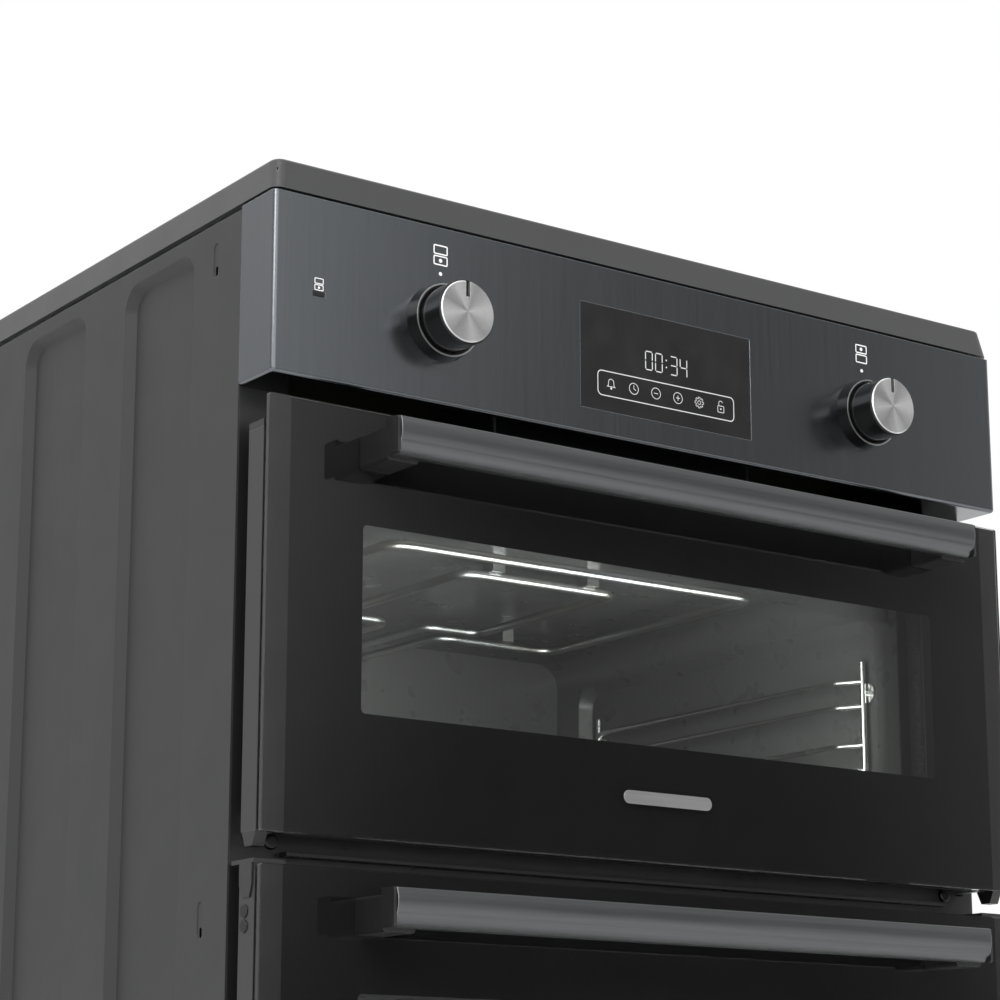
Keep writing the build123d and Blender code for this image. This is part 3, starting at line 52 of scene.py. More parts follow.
class Finish:
    """A procedural material: one Principled shader and the nodes that drive it."""

    def __init__(self, name, colour=(0.5, 0.5, 0.5), roughness=0.5, metallic=0.0, **sockets):
        self.material = bpy.data.materials.new(name)
        self.material.use_nodes = True
        self.tree = self.material.node_tree
        self.shader = self.tree.nodes["Principled BSDF"]
        self.normal = None
        self.put("Base Color", (*colour, 1.0))
        self.put("Roughness", roughness)
        self.put("Metallic", metallic)
        for socket, value in sockets.items():
            self.put(socket.replace("_", " "), value)

    def put(self, socket, value):
        self.shader.inputs[socket].default_value = value

    def node(self, kind, **values):
        made = self.tree.nodes.new("ShaderNode" + kind)
        for key, value in values.items():
            setattr(made, key, value)
        return made

    def link(self, source, target):
        self.tree.links.new(source, target)
        return target

    def coords(self, stretch):
        """The piece's own coordinates, stretched."""
        place = self.node("TexCoord")
        mapping = self.node("Mapping")
        mapping.inputs["Scale"].default_value = stretch
        self.link(place.outputs["Object"], mapping.inputs["Vector"])
        return mapping.outputs["Vector"]

    def noise(self, scale, detail=2.0, stretch=(1, 1, 1), rough=0.5):
        """Soft random variation, from 0 to 1."""
        made = self.node("TexNoise")
        made.inputs["Scale"].default_value = scale
        made.inputs["Detail"].default_value = detail
        made.inputs["Roughness"].default_value = rough
        self.link(self.coords(stretch), made.inputs["Vector"])
        return made.outputs["Fac"]

    def cells(self, scale, output="Distance"):
        """A cell pattern: the distance to each cell's centre, or its random colour."""
        made = self.node("TexVoronoi", feature="F1")
        made.inputs["Scale"].default_value = scale
        self.link(self.coords((1, 1, 1)), made.inputs["Vector"])
        return made.outputs[output]

    def rings(self, scale, centre):
        """Fine concentric grooves round an axis along Y through a point."""
        place = self.node("TexCoord")
        shift = self.node("Mapping")
        shift.inputs["Location"].default_value = [-value for value in centre]
        self.link(place.outputs["Object"], shift.inputs["Vector"])
        made = self.node("TexWave", wave_type="RINGS", rings_direction="Y")
        made.inputs["Scale"].default_value = scale
        made.inputs["Distortion"].default_value = 1.5
        made.inputs["Detail"].default_value = 3.0
        self.link(shift.outputs["Vector"], made.inputs["Vector"])
        return made.outputs["Fac"]

    def fan(self, centre):
        """The turn round an axis along Y through a point, from 0 to 1, slightly ragged."""
        place = self.node("TexCoord")
        shift = self.node("Mapping")
        shift.inputs["Location"].default_value = [-value for value in centre]
        self.link(place.outputs["Object"], shift.inputs["Vector"])
        parts = self.node("SeparateXYZ")
        self.link(shift.outputs["Vector"], parts.inputs[0])
        turn = self.node("Math", operation="ARCTAN2")
        self.link(parts.outputs["Z"], turn.inputs[0])
        self.link(parts.outputs["X"], turn.inputs[1])
        ragged = self.node("Math", operation="MULTIPLY_ADD")
        self.link(self.noise(900, 2), ragged.inputs[0])
        ragged.inputs[1].default_value = 0.12
        self.link(turn.outputs[0], ragged.inputs[2])
        return self.spread(ragged.outputs[0], 0.0, 1.0, -math.pi, math.pi)

    def spread(self, source, low, high, start=0.3, end=0.7):
        """Maps a pattern from start..end to low..high."""
        made = self.node("MapRange")
        for socket, value in zip(("From Min", "From Max", "To Min", "To Max"), (start, end, low, high)):
            made.inputs[socket].default_value = value
        self.link(source, made.inputs["Value"])
        return made.outputs["Result"]

    def ramp(self, source, *stops):
        """Colours along a pattern: pairs of place and colour."""
        made = self.node("ValToRGB")
        elements = made.color_ramp.elements
        while len(elements) < len(stops):
            elements.new(0.5)
        for element, (place, colour) in zip(elements, stops):
            element.position = place
            element.color = (*colour, 1.0)
        self.link(source, made.inputs["Fac"])
        return made.outputs["Color"]

    def colour(self, source, *stops):
        self.link(self.ramp(source, *stops), self.shader.inputs["Base Color"])

    def rough(self, source, low, high):
        self.link(self.spread(source, low, high), self.shader.inputs["Roughness"])

    def bevel(self, radius):
        """Rounds sharp edges in the shading."""
        made = self.node("Bevel", samples=4)
        made.inputs["Radius"].default_value = radius
        self.normal = made.outputs["Normal"]
        self.link(self.normal, self.shader.inputs["Normal"])

    def bump(self, source, depth, strength):
        """Adds relief of that depth in metres."""
        made = self.node("Bump")
        made.inputs["Distance"].default_value = depth
        made.inputs["Strength"].default_value = strength
        self.link(source, made.inputs["Height"])
        if self.normal:
            self.link(self.normal, made.inputs["Normal"])
        self.normal = made.outputs["Normal"]
        self.link(self.normal, self.shader.inputs["Normal"])

    def worn_and_highlit_edges(self, radius, colour):
        """Blends the base colour towards a lighter one along sharp edges: partly edge wear, partly a
        painted highlight.
        """
        bevel = self.node("Bevel", samples=4)
        bevel.inputs["Radius"].default_value = radius
        face = self.node("NewGeometry")
        turn = self.node("VectorMath", operation="DOT_PRODUCT")
        self.link(bevel.outputs["Normal"], turn.inputs[0])
        self.link(face.outputs["Normal"], turn.inputs[1])
        mask = self.spread(turn.outputs["Value"], 0.8, 0.0, 0.82, 0.99)
        mix = self.node("Mix", data_type="RGBA")
        self.link(mask, mix.inputs[0])
        base = self.shader.inputs["Base Color"]
        if base.is_linked:
            self.link(base.links[0].from_socket, mix.inputs[6])
        else:
            mix.inputs[6].default_value = base.default_value
        mix.inputs[7].default_value = (*colour, 1.0)
        self.link(mix.outputs[2], base)

    def tangent(self, direction):
        """Sets the way that brushed grooves spread a highlight."""
        made = self.node("CombineXYZ")
        for socket, value in zip(made.inputs, direction):
            socket.default_value = value
        self.link(made.outputs[0], self.shader.inputs["Tangent"])


def grey(value, warm=0.0):
    """A near-neutral colour: positive warm leans to brown, negative to blue."""
    return (value * (1 + warm), value, value * (1 - warm))


def painted(name, value, roughness, warm=0.0, worn_highlit_edge=None, soft=0.9):
    """Stoved enamel: a slight orange peel, uneven gloss, and brighter edges that are partly wear and
    partly a painted highlight.
    """
    made = Finish(name, roughness=roughness)
    made.colour(made.noise(9, 4), (0.3, grey(value * 0.97, warm)), (0.7, grey(value * 1.03, warm)))
    made.rough(made.noise(26, 5), roughness - 0.03, roughness + 0.04)
    made.bevel(soft * MM)
    made.bump(made.noise(900, 3), 0.05 * MM, 0.35)
    made.bump(made.noise(160, 2), 0.10 * MM, 0.25)
    # lighter edges: partly wear, partly a painted highlight
    if worn_highlit_edge:
        made.worn_and_highlit_edges(0.7 * MM, grey(worn_highlit_edge, warm))
    return made.material


def brushed(name, value, roughness, grooves, highlight, warm=0.0, worn_highlit_edge=None, depth=0.02, contrast=0.1):
    """Brushed metal: long fine scratches along one direction."""
    made = Finish(name, roughness=roughness, metallic=1.0, Anisotropic=0.55)
    lines = made.noise(620, 3, grooves, 0.6)
    dark, light = grey(value * (1 - contrast), warm), grey(value * (1 + contrast), warm)
    made.colour(lines, (0.30, dark), (0.70, light))
    made.rough(lines, roughness - 0.01, roughness + 0.01)
    made.bevel(0.8 * MM)
    made.bump(lines, depth * MM, 0.4)
    made.tangent(highlight)
    # lighter edges: partly wear, partly a painted highlight
    if worn_highlit_edge:
        made.worn_and_highlit_edges(0.8 * MM, grey(worn_highlit_edge, warm))
    return made.material


def galvanised(name, value):
    """Zinc-coated sheet with spangle and a few dull patches."""
    made = Finish(name, roughness=0.4, metallic=0.9)
    spangle = made.cells(170, "Color")
    made.colour(spangle, (0.1, grey(value * 0.92, -0.02)), (0.9, grey(value * 1.08, -0.02)))
    made.rough(made.noise(38, 4), 0.32, 0.52)
    made.bevel(0.5 * MM)
    made.bump(made.noise(700, 2), 0.03 * MM, 0.4)
    return made.material


def moulded(name, value, roughness):
    """Moulded plastic with a fine spark-eroded grain."""
    made = Finish(name, roughness=roughness)
    made.colour(made.noise(40, 3), (0.3, grey(value * 0.9)), (0.7, grey(value * 1.12)))
    made.rough(made.noise(90, 4), roughness - 0.04, roughness + 0.05)
    made.bevel(0.4 * MM)
    made.bump(made.noise(1500, 3), 0.04 * MM, 0.5)
    return made.material


def gloss(name, value):
    """High-gloss black with hairline handling marks."""
    roughness = 0.12
    made = Finish(name, roughness=roughness, Specular_IOR_Level=0.3, Coat_Weight=0.15, Coat_Roughness=0.05)
    made.colour(made.noise(30, 3), (0.3, grey(value * 0.9)), (0.7, grey(value * 1.1)))
    made.rough(made.noise(220, 5, (1, 1, 4)), roughness - 0.03, roughness + 0.07)
    made.bevel(0.5 * MM)
    made.bump(made.noise(300, 2), 0.01 * MM, 0.3)
    return made.material


def oven_enamel():
    """Pyrolytic enamel: glossy dark grey with pale and dark flecks."""
    made = Finish("oven_enamel_flecked", roughness=0.22, Specular_IOR_Level=0.6)
    flecks = made.cells(520)
    made.colour(flecks, (0.12, grey(0.145)), (0.2, grey(0.108)), (0.55, grey(0.10)), (0.9, grey(0.095)))
    made.rough(made.noise(45, 2), 0.26, 0.34)
    made.bevel(1.6 * MM)
    made.bump(made.noise(300, 2), 0.03 * MM, 0.15)
    return made.material


def pane(name, tint):
    """Float glass that lets lamps through, with a faint tint and a trace of dust."""
    made = Finish(name, tint, 0.0, Transmission_Weight=1.0, IOR=1.5, Specular_IOR_Level=0.5)
    made.colour(made.noise(8, 2), (0.3, [value * 0.985 for value in tint]), (0.7, tint))
    made.bump(made.noise(5, 1), 0.02 * MM, 0.08)
    clear = made.node("BsdfTransparent")
    clear.inputs["Color"].default_value = (*[value * 0.92 for value in tint], 1.0)
    path = made.node("LightPath")
    mix = made.node("MixShader")
    made.link(path.outputs["Is Shadow Ray"], mix.inputs[0])
    made.link(made.shader.outputs[0], mix.inputs[1])
    made.link(clear.outputs[0], mix.inputs[2])
    made.link(mix.outputs[0], made.tree.nodes["Material Output"].inputs["Surface"])
    return made.material


def ceramic_glass():
    """Black ceramic glass with a sparse pattern of fine grey dots."""
    made = Finish("ceramic_glass_dotted", grey(0.008), 0.06, Coat_Weight=0.4)
    dots = made.cells(240)
    made.colour(dots, (0.07, grey(0.10)), (0.10, grey(0.007)))
    made.rough(made.noise(30, 4), 0.04, 0.10)
    made.bump(made.noise(12, 2), 0.02 * MM, 0.1)
    return made.material


def dark_glass():
    """The display window: near-black, smooth, with a faint smear."""
    made = Finish("display_window", grey(0.0045), 0.12)
    made.colour(made.noise(22, 3), (0.3, grey(0.016)), (0.7, grey(0.019)))
    made.rough(made.noise(60, 4), 0.10, 0.2)
    made.bump(made.noise(18, 2), 0.01 * MM, 0.1)
    return made.material


# painted highlights and shade round a turned face: brightness from one side anticlockwise back to the same
# side
SPUN_PAINTED_HIGHLIGHTS = tuple((place, (value, value, value)) for place, value in (
    (0.00, 0.78), (0.05, 0.92), (0.10, 0.70), (0.16, 0.52), (0.22, 0.60), (0.30, 0.86),
    (0.38, 0.58), (0.44, 0.72), (0.50, 0.90), (0.56, 0.96), (0.63, 0.70), (0.70, 0.56),
    (0.77, 0.80), (0.84, 0.88), (0.90, 0.55), (0.95, 0.50), (1.00, 0.78),
))


def spun(name, node):
    """Turned aluminium: concentric grooves, and fans of painted highlight and shade in the base colour."""
    low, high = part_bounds(node)
    centre = (low + high) / 2
    made = Finish(name, roughness=0.3, metallic=1.0, Anisotropic=0.85, Anisotropic_Rotation=0.25)
    grooves = made.rings(700, centre)
    # painted highlight: the base colour brightens and darkens in fans round the cap's centre
    made.colour(made.fan(centre), *SPUN_PAINTED_HIGHLIGHTS)
    made.rough(grooves, 0.24, 0.32)
    made.bevel(0.3 * MM)
    made.bump(grooves, 0.01 * MM, 0.15)
    return made.material


def chrome(name, value, roughness):
    """Bright nickel-chrome plating with slight tarnish."""
    made = Finish(name, roughness=roughness, metallic=1.0)
    made.colour(made.noise(70, 4), (0.3, grey(value * 0.88, 0.02)), (0.7, grey(value)))
    made.rough(made.noise(40, 2), roughness - 0.03, roughness + 0.04)
    made.bump(made.noise(200, 2), 0.01 * MM, 0.1)
    return made.material


def element_steel():
    """Heating tube: grey oxide with straw and blue heat tints."""
    made = Finish("element_oxide", roughness=0.3, metallic=1.0)
    tint = made.noise(20, 2)
    stops = ((0.3, (0.66, 0.63, 0.60)), (0.5, (0.60, 0.60, 0.60)), (0.7, (0.64, 0.65, 0.68)))
    made.colour(tint, *stops)
    made.rough(made.noise(40, 2), 0.32, 0.38)
    made.bump(made.noise(300, 2), 0.01 * MM, 0.1)
    return made.material


def fibrous(name, light, dark):
    """Matted mineral fibre."""
    made = Finish(name, roughness=0.95, Sheen_Weight=0.25)
    fibres = made.noise(260, 8, (1, 1, 3), 0.75)
    made.colour(fibres, (0.3, dark), (0.7, light))
    made.rough(made.noise(30, 3), 0.85, 1.0)
    made.bump(fibres, 0.9 * MM, 0.7)
    return made.material


def frit(name, value):
    """Ceramic ink fired onto the back of a glass: no gloss of its own."""
    made = Finish(name, roughness=0.6, Specular_IOR_Level=0.0)
    made.colour(made.noise(50, 4), (0.3, grey(value * 0.92)), (0.7, grey(value * 1.08)))
    made.rough(made.noise(90, 2), 0.5, 0.7)
    made.bump(made.noise(60, 2), 0.01 * MM, 0.1)
    return made.material


def rubber(name, value):
    """Matt silicone with a dusty bloom."""
    made = Finish(name, roughness=0.6, Sheen_Weight=0.1)
    made.colour(made.noise(60, 4), (0.3, grey(value)), (0.7, grey(value * 1.8)))
    made.rough(made.noise(120, 3), 0.5, 0.72)
    made.bump(made.noise(1200, 3), 0.04 * MM, 0.5)
    return made.material


def ink(name, value, glow=0.0):
    """Screen-printed ink, a little uneven."""
    made = Finish(name, roughness=0.45)
    made.colour(made.noise(700, 3), (0.3, grey(value * 0.93)), (0.7, grey(value)))
    made.rough(made.noise(400, 2), 0.40, 0.55)
    made.bump(made.noise(2500, 2), 0.01 * MM, 0.3)
    if glow:
        made.put("Emission Color", (0.85, 0.93, 1.0, 1.0))
        made.put("Emission Strength", glow)
    return made.material


def lamp_glass():
    """Frosted heat-proof lamp glass on a bright rim."""
    made = Finish("lamp_glass_frosted", grey(0.7), 0.3, Coat_Weight=0.5)
    made.colour(made.noise(90, 3), (0.3, grey(0.62, 0.03)), (0.7, grey(0.78, 0.02)))
    made.rough(made.noise(60, 3), 0.22, 0.4)
    made.bump(made.cells(420), 0.15 * MM, 0.5)
    return made.material


ALONG_X, ALONG_Z = (0.02, 1, 1), (1, 1, 0.02)
# the edge values given to painted and brushed below are lighter edge colours: partly wear, partly painted
# highlight
FINISHES = {
    "side_enamel": painted("side_enamel_graphite", 0.019, 0.5, -0.01, 0.05),
    "zinc_sheet": galvanised("zinc_spangled", 0.36),
    "black_enamel": painted("front_enamel_black", 0.012, 0.30, 0.0, 0.03),
    "trim_steel": painted("hob_trim_graphite", 0.036, 0.38, -0.01, 0.11, soft=0.25),
    "ceramic_glass": ceramic_glass(),
    "heater_lining": fibrous("heater_lining_board", (0.62, 0.56, 0.47), (0.44, 0.39, 0.32)),
    "heating_wire": painted("heating_ribbon", 0.16, 0.5, 0.12),
    "oven_enamel": oven_enamel(),
    "mineral_wool": fibrous("mineral_wool", (0.60, 0.55, 0.38), (0.36, 0.31, 0.19)),
    "seal_rubber": rubber("seal_silicone", 0.012),
    "black_plastic": moulded("moulded_black", 0.007, 0.45),
    "gloss_black": gloss("knob_black", 0.006),
    "cap_plastic": moulded("end_cap_plastic", 0.012, 0.42),
    "screw_steel": chrome("screw_blackened", 0.05, 0.32),
    "element_tube": element_steel(),
    "lamp_glass": lamp_glass(),
    "chrome_wire": chrome("rack_chrome", 0.85, 0.24),
    "fascia_steel": brushed(
        "fascia_anthracite", 0.150, 0.19, ALONG_Z, (1, 0, 0), -0.06, 0.3, 0.008, contrast=0.03,
    ),
    "display_glass": dark_glass(),
    "fan_steel": galvanised("fan_aluminised", 0.42),
    "door_glass": pane("door_glass_outer", (0.80, 0.81, 0.80)),
    "inner_glass": pane("door_glass_inner", (0.86, 0.89, 0.87)),
    "door_profile": painted("door_profile_black", 0.020, 0.34, 0.0, 0.06),
    "handle_metal": brushed(
        "handle_anthracite", 0.125, 0.34, ALONG_X, (0, 0, 1), -0.02, 0.45, contrast=0.07,
    ),
}


def dress_cad():
    """Gives every CAD piece its finish, by the slot that the record names."""
    for name, piece in NODES.items():
        for place in piece.material_slots:
            slot = place.material.name
            if slot == "spun_aluminium":
                place.material = spun(f"{name}_turned", name)
            else:
                place.material = FINISHES[slot]
    NODES["pilot_lens"].material_slots[0].material = moulded("pilot_lens_dark", 0.003, 0.3)


# ---------------------------------------------------------------- mesh helpers

def adopt(name, mesh, body, material):
    """Makes a piece from a mesh in frame coordinates and lets it ride on a body."""
    mesh.materials.clear()
    mesh.materials.append(material)
    piece = bpy.data.objects.new(name, mesh)
    bpy.context.scene.collection.objects.link(piece)
    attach(piece, body)
    return piece


def part_box(node, test):
    """The box of those points of a CAD node that pass a test."""
    points = [vertex.co for vertex in NODES[node].data.vertices if test(vertex.co)]
    low = Vector([min(point[i] for point in points) for i in range(3)])
    high = Vector([max(point[i] for point in points) for i in range(3)])
    return low, high


def rounded_loop(half_u, half_v, radius, corner_steps=8, run_steps=1):
    """Points and outward normals round a rounded rectangle, anticlockwise."""
    loop = []
    corners = ((1, 1, 0), (-1, 1, 90), (-1, -1, 180), (1, -1, 270))
    for index, (side_u, side_v, start) in enumerate(corners):
        centre = (side_u * (half_u - radius), side_v * (half_v - radius))
        for step in range(corner_steps + 1):
            angle = math.radians(start + 90 * step / corner_steps)
            normal = (math.cos(angle), math.sin(angle))
            loop.append((centre[0] + radius * normal[0], centre[1] + radius * normal[1], *normal))
        following = corners[(index + 1) % 4]
        end = (following[0] * (half_u - radius), following[1] * (half_v - radius))
        last = loop[-1]
        first = (end[0] + radius * last[2], end[1] + radius * last[3])
        for step in range(1, run_steps):
            share = step / run_steps
            point = [last[i] + (first[i] - last[i]) * share for i in (0, 1)]
            loop.append((*point, last[2], last[3]))
    return loop


class Prints:
    """Thin flat shapes on one plane, gathered into one mesh. u is right, v is up."""

    def __init__(self, to_frame, thickness):
        self.mesh = bmesh.new()
        self.to_frame = to_frame
        self.thickness = thickness

    def point(self, u, v, lift):
        return self.mesh.verts.new(self.to_frame(u, v, lift))

    def prism(self, outline):
        """A filled shape."""
        low = [self.point(u, v, 0.0) for u, v in outline]
        high = [self.point(u, v, self.thickness) for u, v in outline]
        self.mesh.faces.new(low[::-1])
        self.mesh.faces.new(high)
        for i in range(len(outline)):
            j = (i + 1) % len(outline)
            self.mesh.faces.new((low[i], low[j], high[j], high[i]))

    def ribbon(self, line, width, closed=False):
        """A line of constant width with mitred corners."""
        count = len(line)
        rings = []
        for i, (u, v) in enumerate(line):
            before = line[i - 1] if closed or i else None
            after = line[(i + 1) % count] if closed or i < count - 1 else None
            normals = []
            for start, end in ((before, (u, v)), ((u, v), after)):
                if start and end:
                    run = (end[0] - start[0], end[1] - start[1])
                    length = math.hypot(*run)
                    normals.append((-run[1] / length, run[0] / length))
            across = [sum(normal[k] for normal in normals) for k in (0, 1)]
            scale = width / 2 * len(normals) / max(across[0] ** 2 + across[1] ** 2, 0.3)
            left = (u + across[0] * scale, v + across[1] * scale)
            right = (u - across[0] * scale, v - across[1] * scale)
            corners = ((left, 0.0), (right, 0.0), (right, self.thickness), (left, self.thickness))
            rings.append([self.point(*place, lift) for place, lift in corners])
        for i in range(count if closed else count - 1):
            first, second = rings[i], rings[(i + 1) % count]
            for k in range(4):
                m = (k + 1) % 4
                self.mesh.faces.new((first[k], first[m], second[m], second[k]))
        if not closed:
            self.mesh.faces.new(rings[0][::-1])
            self.mesh.faces.new(rings[-1])

    def circle(self, u, v, radius, width, steps=28):
        turns = [math.tau * i / steps for i in range(steps)]
        self.ribbon([(u + radius * math.cos(a), v + radius * math.sin(a)) for a in turns], width, True)

    def disc(self, u, v, radius, steps=24):
        turns = [math.tau * i / steps for i in range(steps)]
        self.prism([(u + radius * math.cos(a), v + radius * math.sin(a)) for a in turns])

    def frame(self, u, v, half_u, half_v, radius, width, corner_steps=6):
        loop = rounded_loop(half_u, half_v, radius, corner_steps)
        self.ribbon([(u + point[0], v + point[1]) for point in loop], width, True)

    def piece(self, name, body, material, slot=None):
        bmesh.ops.recalc_face_normals(self.mesh, faces=self.mesh.faces)
        mesh = bpy.data.meshes.new(name)
        self.mesh.to_mesh(mesh)
        self.mesh.free()
        return adopt(name, mesh, body, material)


def facing_front(y):
    """Places shapes, in millimetres, on an upright plane that faces -Y."""
    return lambda u, v, lift: (u * MM, y - lift * MM, v * MM)


# ---------------------------------------------------------------- doors

# millimetres
FRIT_MARGIN = 0.4
FRIT_THICKNESS = 0.06
FRIT_GAP = 0.1
BAND_GAP = 0.2
WINDOW_SIDE = 67.0
WINDOW_RADIUS = 3.0
BAND_WIDTH = 15.4
BADGE_HALF = (35.5, 4.2)
BADGE_RADIUS = 4.1
BADGE_LEFT = 4.5
BADGE_RISE = 40.0
BADGE_THICKNESS = 0.35
SEAL_WIDTH = 9.0
SEAL_RADIUS = 30.0
MARK_THICKNESS = 0.05


def door_frit(door, below, above):
    """The black print behind a door's glass, open at the window, with paler side bands."""
    low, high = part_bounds(f"{door}_door_glass")
    back = high.y - FRIT_GAP * MM
    half = (high.x - low.x) / 2 / MM - FRIT_MARGIN
    z = (low.z / MM + FRIT_MARGIN, high.z / MM - FRIT_MARGIN)
    middle = (z[0] + z[1]) / 2
    window = (low.z / MM + below, high.z / MM - above)
    hole_half = half - WINDOW_SIDE + FRIT_MARGIN
    hole = rounded_loop(hole_half, (window[1] - window[0]) / 2, WINDOW_RADIUS, 8)
    hole_middle = (window[0] + window[1]) / 2
    inner = [(u, v + hole_middle) for u, v, _, _ in hole]
    outer = []
    for u, v in inner:
        side = 1 if u > 0 else -1
        top = 1 if v > hole_middle else -1
        outer.append((side * half, middle + top * (z[1] - z[0]) / 2))
    place = facing_front(back)
    mesh = bmesh.new()
    rings = []
    for outline, lift in ((inner, 0), (outer, 0), (outer, FRIT_THICKNESS), (inner, FRIT_THICKNESS)):
        rings.append([place(u, v, lift) for u, v in outline])
    count = len(inner)
    shared = {}

    def vertex(position):
        key = tuple(round(value, 7) for value in position)
        if key not in shared:
            shared[key] = mesh.verts.new(position)
        return shared[key]

    for a, b in ((0, 1), (1, 2), (2, 3), (3, 0)):
        for i in range(count):
            j = (i + 1) % count
            corners = []
            for position in (rings[a][i], rings[a][j], rings[b][j], rings[b][i]):
                made = vertex(position)
                if made not in corners:
                    corners.append(made)
            if len(corners) > 2 and not mesh.faces.get(corners):
                mesh.faces.new(corners)
    bmesh.ops.recalc_face_normals(mesh, faces=mesh.faces)
    data = bpy.data.meshes.new(f"{door}_door_frit")
    mesh.to_mesh(data)
    mesh.free()
    adopt(f"{door}_door_frit", data, f"{door}_door", BLACK_FRIT)
    bands = Prints(facing_front(back - BAND_GAP * MM), MARK_THICKNESS)
    for side in (-1, 1):
        edges = sorted((side * half, side * (half - BAND_WIDTH)))
        bands.prism([(edges[0], z[0]), (edges[1], z[0]), (edges[1], z[1]), (edges[0], z[1])])
    bands.piece(f"{door}_door_side_bands", f"{door}_door", BAND_FRIT, "door_profile")


def door_badge():
    """A plain blank badge below the upper window."""
    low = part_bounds("upper_door_glass")[0]
    badge = Prints(facing_front(low.y), BADGE_THICKNESS)
    loop = rounded_loop(*BADGE_HALF, BADGE_RADIUS, 10)
    badge.prism([(point[0] - BADGE_LEFT, point[1] + low.z / MM + BADGE_RISE) for point in loop])
    badge.piece("door_badge", "upper_door", BADGE)


def gasket(door, test):
    """A ribbed silicone seal round one oven opening."""
    low, high = part_box("door_seals", test)
    half_u = (high.x - low.x) / 2
    half_v = (high.z - low.z) / 2
    width = SEAL_WIDTH * MM
    centre = ((low.x + high.x) / 2, (low.z + high.z) / 2)
    depth = (high.y - low.y) / 2
    mid_y = (high.y + low.y) / 2
    loop = rounded_loop(half_u - width / 2, half_v - width / 2, SEAL_RADIUS * MM, 60, 360)
    mesh = bmesh.new()
    rings = []
    profile = 14
    for index, (u, v, normal_u, normal_v) in enumerate(loop):
        rib = 0.95 + 0.045 * math.cos(math.tau * index / 4)
        ring = []
        for step in range(profile):
            angle = math.tau * step / profile
            across = math.cos(angle) * width / 2 * rib
            along = max(-1.0, min(1.0, math.sin(angle) * 1.05)) * depth * rib
            place_u = centre[0] + u + normal_u * across
            place_v = centre[1] + v + normal_v * across
            ring.append(mesh.verts.new((place_u, mid_y + along, place_v)))
        rings.append(ring)
    for i, ring in enumerate(rings):
        after = rings[(i + 1) % len(rings)]
        for k in range(profile):
            m = (k + 1) % profile
            mesh.faces.new((ring[k], ring[m], after[m], after[k])).smooth = True
    bmesh.ops.recalc_face_normals(mesh, faces=mesh.faces)
    data = bpy.data.meshes.new(f"{door}_door_gasket")
    mesh.to_mesh(data)
    mesh.free()
    piece = adopt(f"{door}_door_gasket", data, "carcass", FINISHES["seal_rubber"])
    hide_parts("door_seals")


# ---------------------------------------------------------------- printed marks

SEGMENTS = {"0": "abcdef", "3": "abcdg", "4": "bcfg"}


def digit(prints, character, u, v, width, height, stroke):
    """One seven-segment digit with its lower left corner at u, v."""
    gap = stroke * 0.75
    middle = v + height / 2
    runs = {
        "a": ((u + gap, v + height), (u + width - gap, v + height)),
        "b": ((u + width, v + height - gap), (u + width, middle + gap)),
        "c": ((u + width, middle - gap), (u + width, v + gap)),
        "d": ((u + width - gap, v), (u + gap, v)),
        "e": ((u, v + gap), (u, middle - gap)),
        "f": ((u, middle + gap), (u, v + height - gap)),
        "g": ((u + gap, middle), (u + width - gap, middle)),
    }
    for segment in SEGMENTS[character]:
        prints.ribbon(runs[segment], stroke)


def two_boxes(prints, u, v, width, filled):
    """The symbol of two stacked ovens, with a dot in one of them."""
    half, line = width / 2, width * 0.085
    box_half = width * 0.28
    for side in (-1, 1):
        prints.frame(u, v + side * (box_half + line * 0.9), half, box_half, width * 0.06, line, 2)
    prints.disc(u, v + filled * (box_half + line * 0.9), width * 0.13)


def fascia_marks():
    """Oven symbols and dots above the two knobs and the pilot lamp."""
    low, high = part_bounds("control_fascia")
    top = high.z / MM
    marks = Prints(facing_front(low.y), MARK_THICKNESS)
    for knob, filled in (("left_knob", -1), ("right_knob", 1)):
        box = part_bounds(knob)
        u = (box[0].x + box[1].x) / 2 / MM
        two_boxes(marks, u, top - 18.1, 9.8, filled)
        marks.disc(u, top - 30.2, 1.25)
    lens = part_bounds("pilot_lens")
    u = (lens[0].x + lens[1].x) / 2 / MM
    two_boxes(marks, u, top - 54.3, 5.8, -1)
    marks.piece("fascia_marks", "carcass", WHITE_INK)


def bell(prints, u, v, line):
    rim = [(u + 3.1, v - 1.9), (u + 2.3, v - 1.1)]
    crown = []
    for step in range(9):
        angle = math.radians(20 * step + 10)
        crown.append((u + 2.1 * math.cos(angle), v + 1.2 + 2.0 * math.sin(angle)))
    mirror = [(2 * u - x, y) for x, y in reversed(rim)]
    prints.ribbon(rim + crown + mirror, line, True)
    prints.disc(u, v - 3.0, 0.75, 12)


def clock(prints, u, v, line):
    prints.circle(u, v, 3.7, line)
    prints.ribbon([(u, v + 2.4), (u, v), (u + 1.7, v - 1.0)], line)


def signed(prints, u, v, line, plus):
    prints.circle(u, v, 3.7, line)
    prints.ribbon([(u - 1.7, v), (u + 1.7, v)], line)
    if plus:
        prints.ribbon([(u, v + line / 2), (u, v + 1.7)], line)
        prints.ribbon([(u, v - line / 2), (u, v - 1.7)], line)


def gear(prints, u, v, line):
    teeth = []
    for tooth in range(8):
        for offset, radius in ((-15, 2.7), (-10, 3.7), (10, 3.7), (15, 2.7)):
            angle = math.radians(45 * tooth + offset)
            teeth.append((u + radius * math.cos(angle), v + radius * math.sin(angle)))
    prints.ribbon(teeth, line * 0.8, True)
    prints.circle(u, v, 1.3, line * 0.8, 16)


def padlock(prints, u, v, line):
    prints.frame(u, v - 1.5, 2.6, 2.2, 0.4, line, 2)
    arch = [(u - 1.7, v + 1.1)]
    for step in range(9):
        angle = math.radians(180 - 20 * step)
        arch.append((u + 1.7 * math.cos(angle), v + 2.6 + 1.5 * math.sin(angle)))
    prints.ribbon(arch, line)
    prints.disc(u, v - 1.4, 0.6, 12)


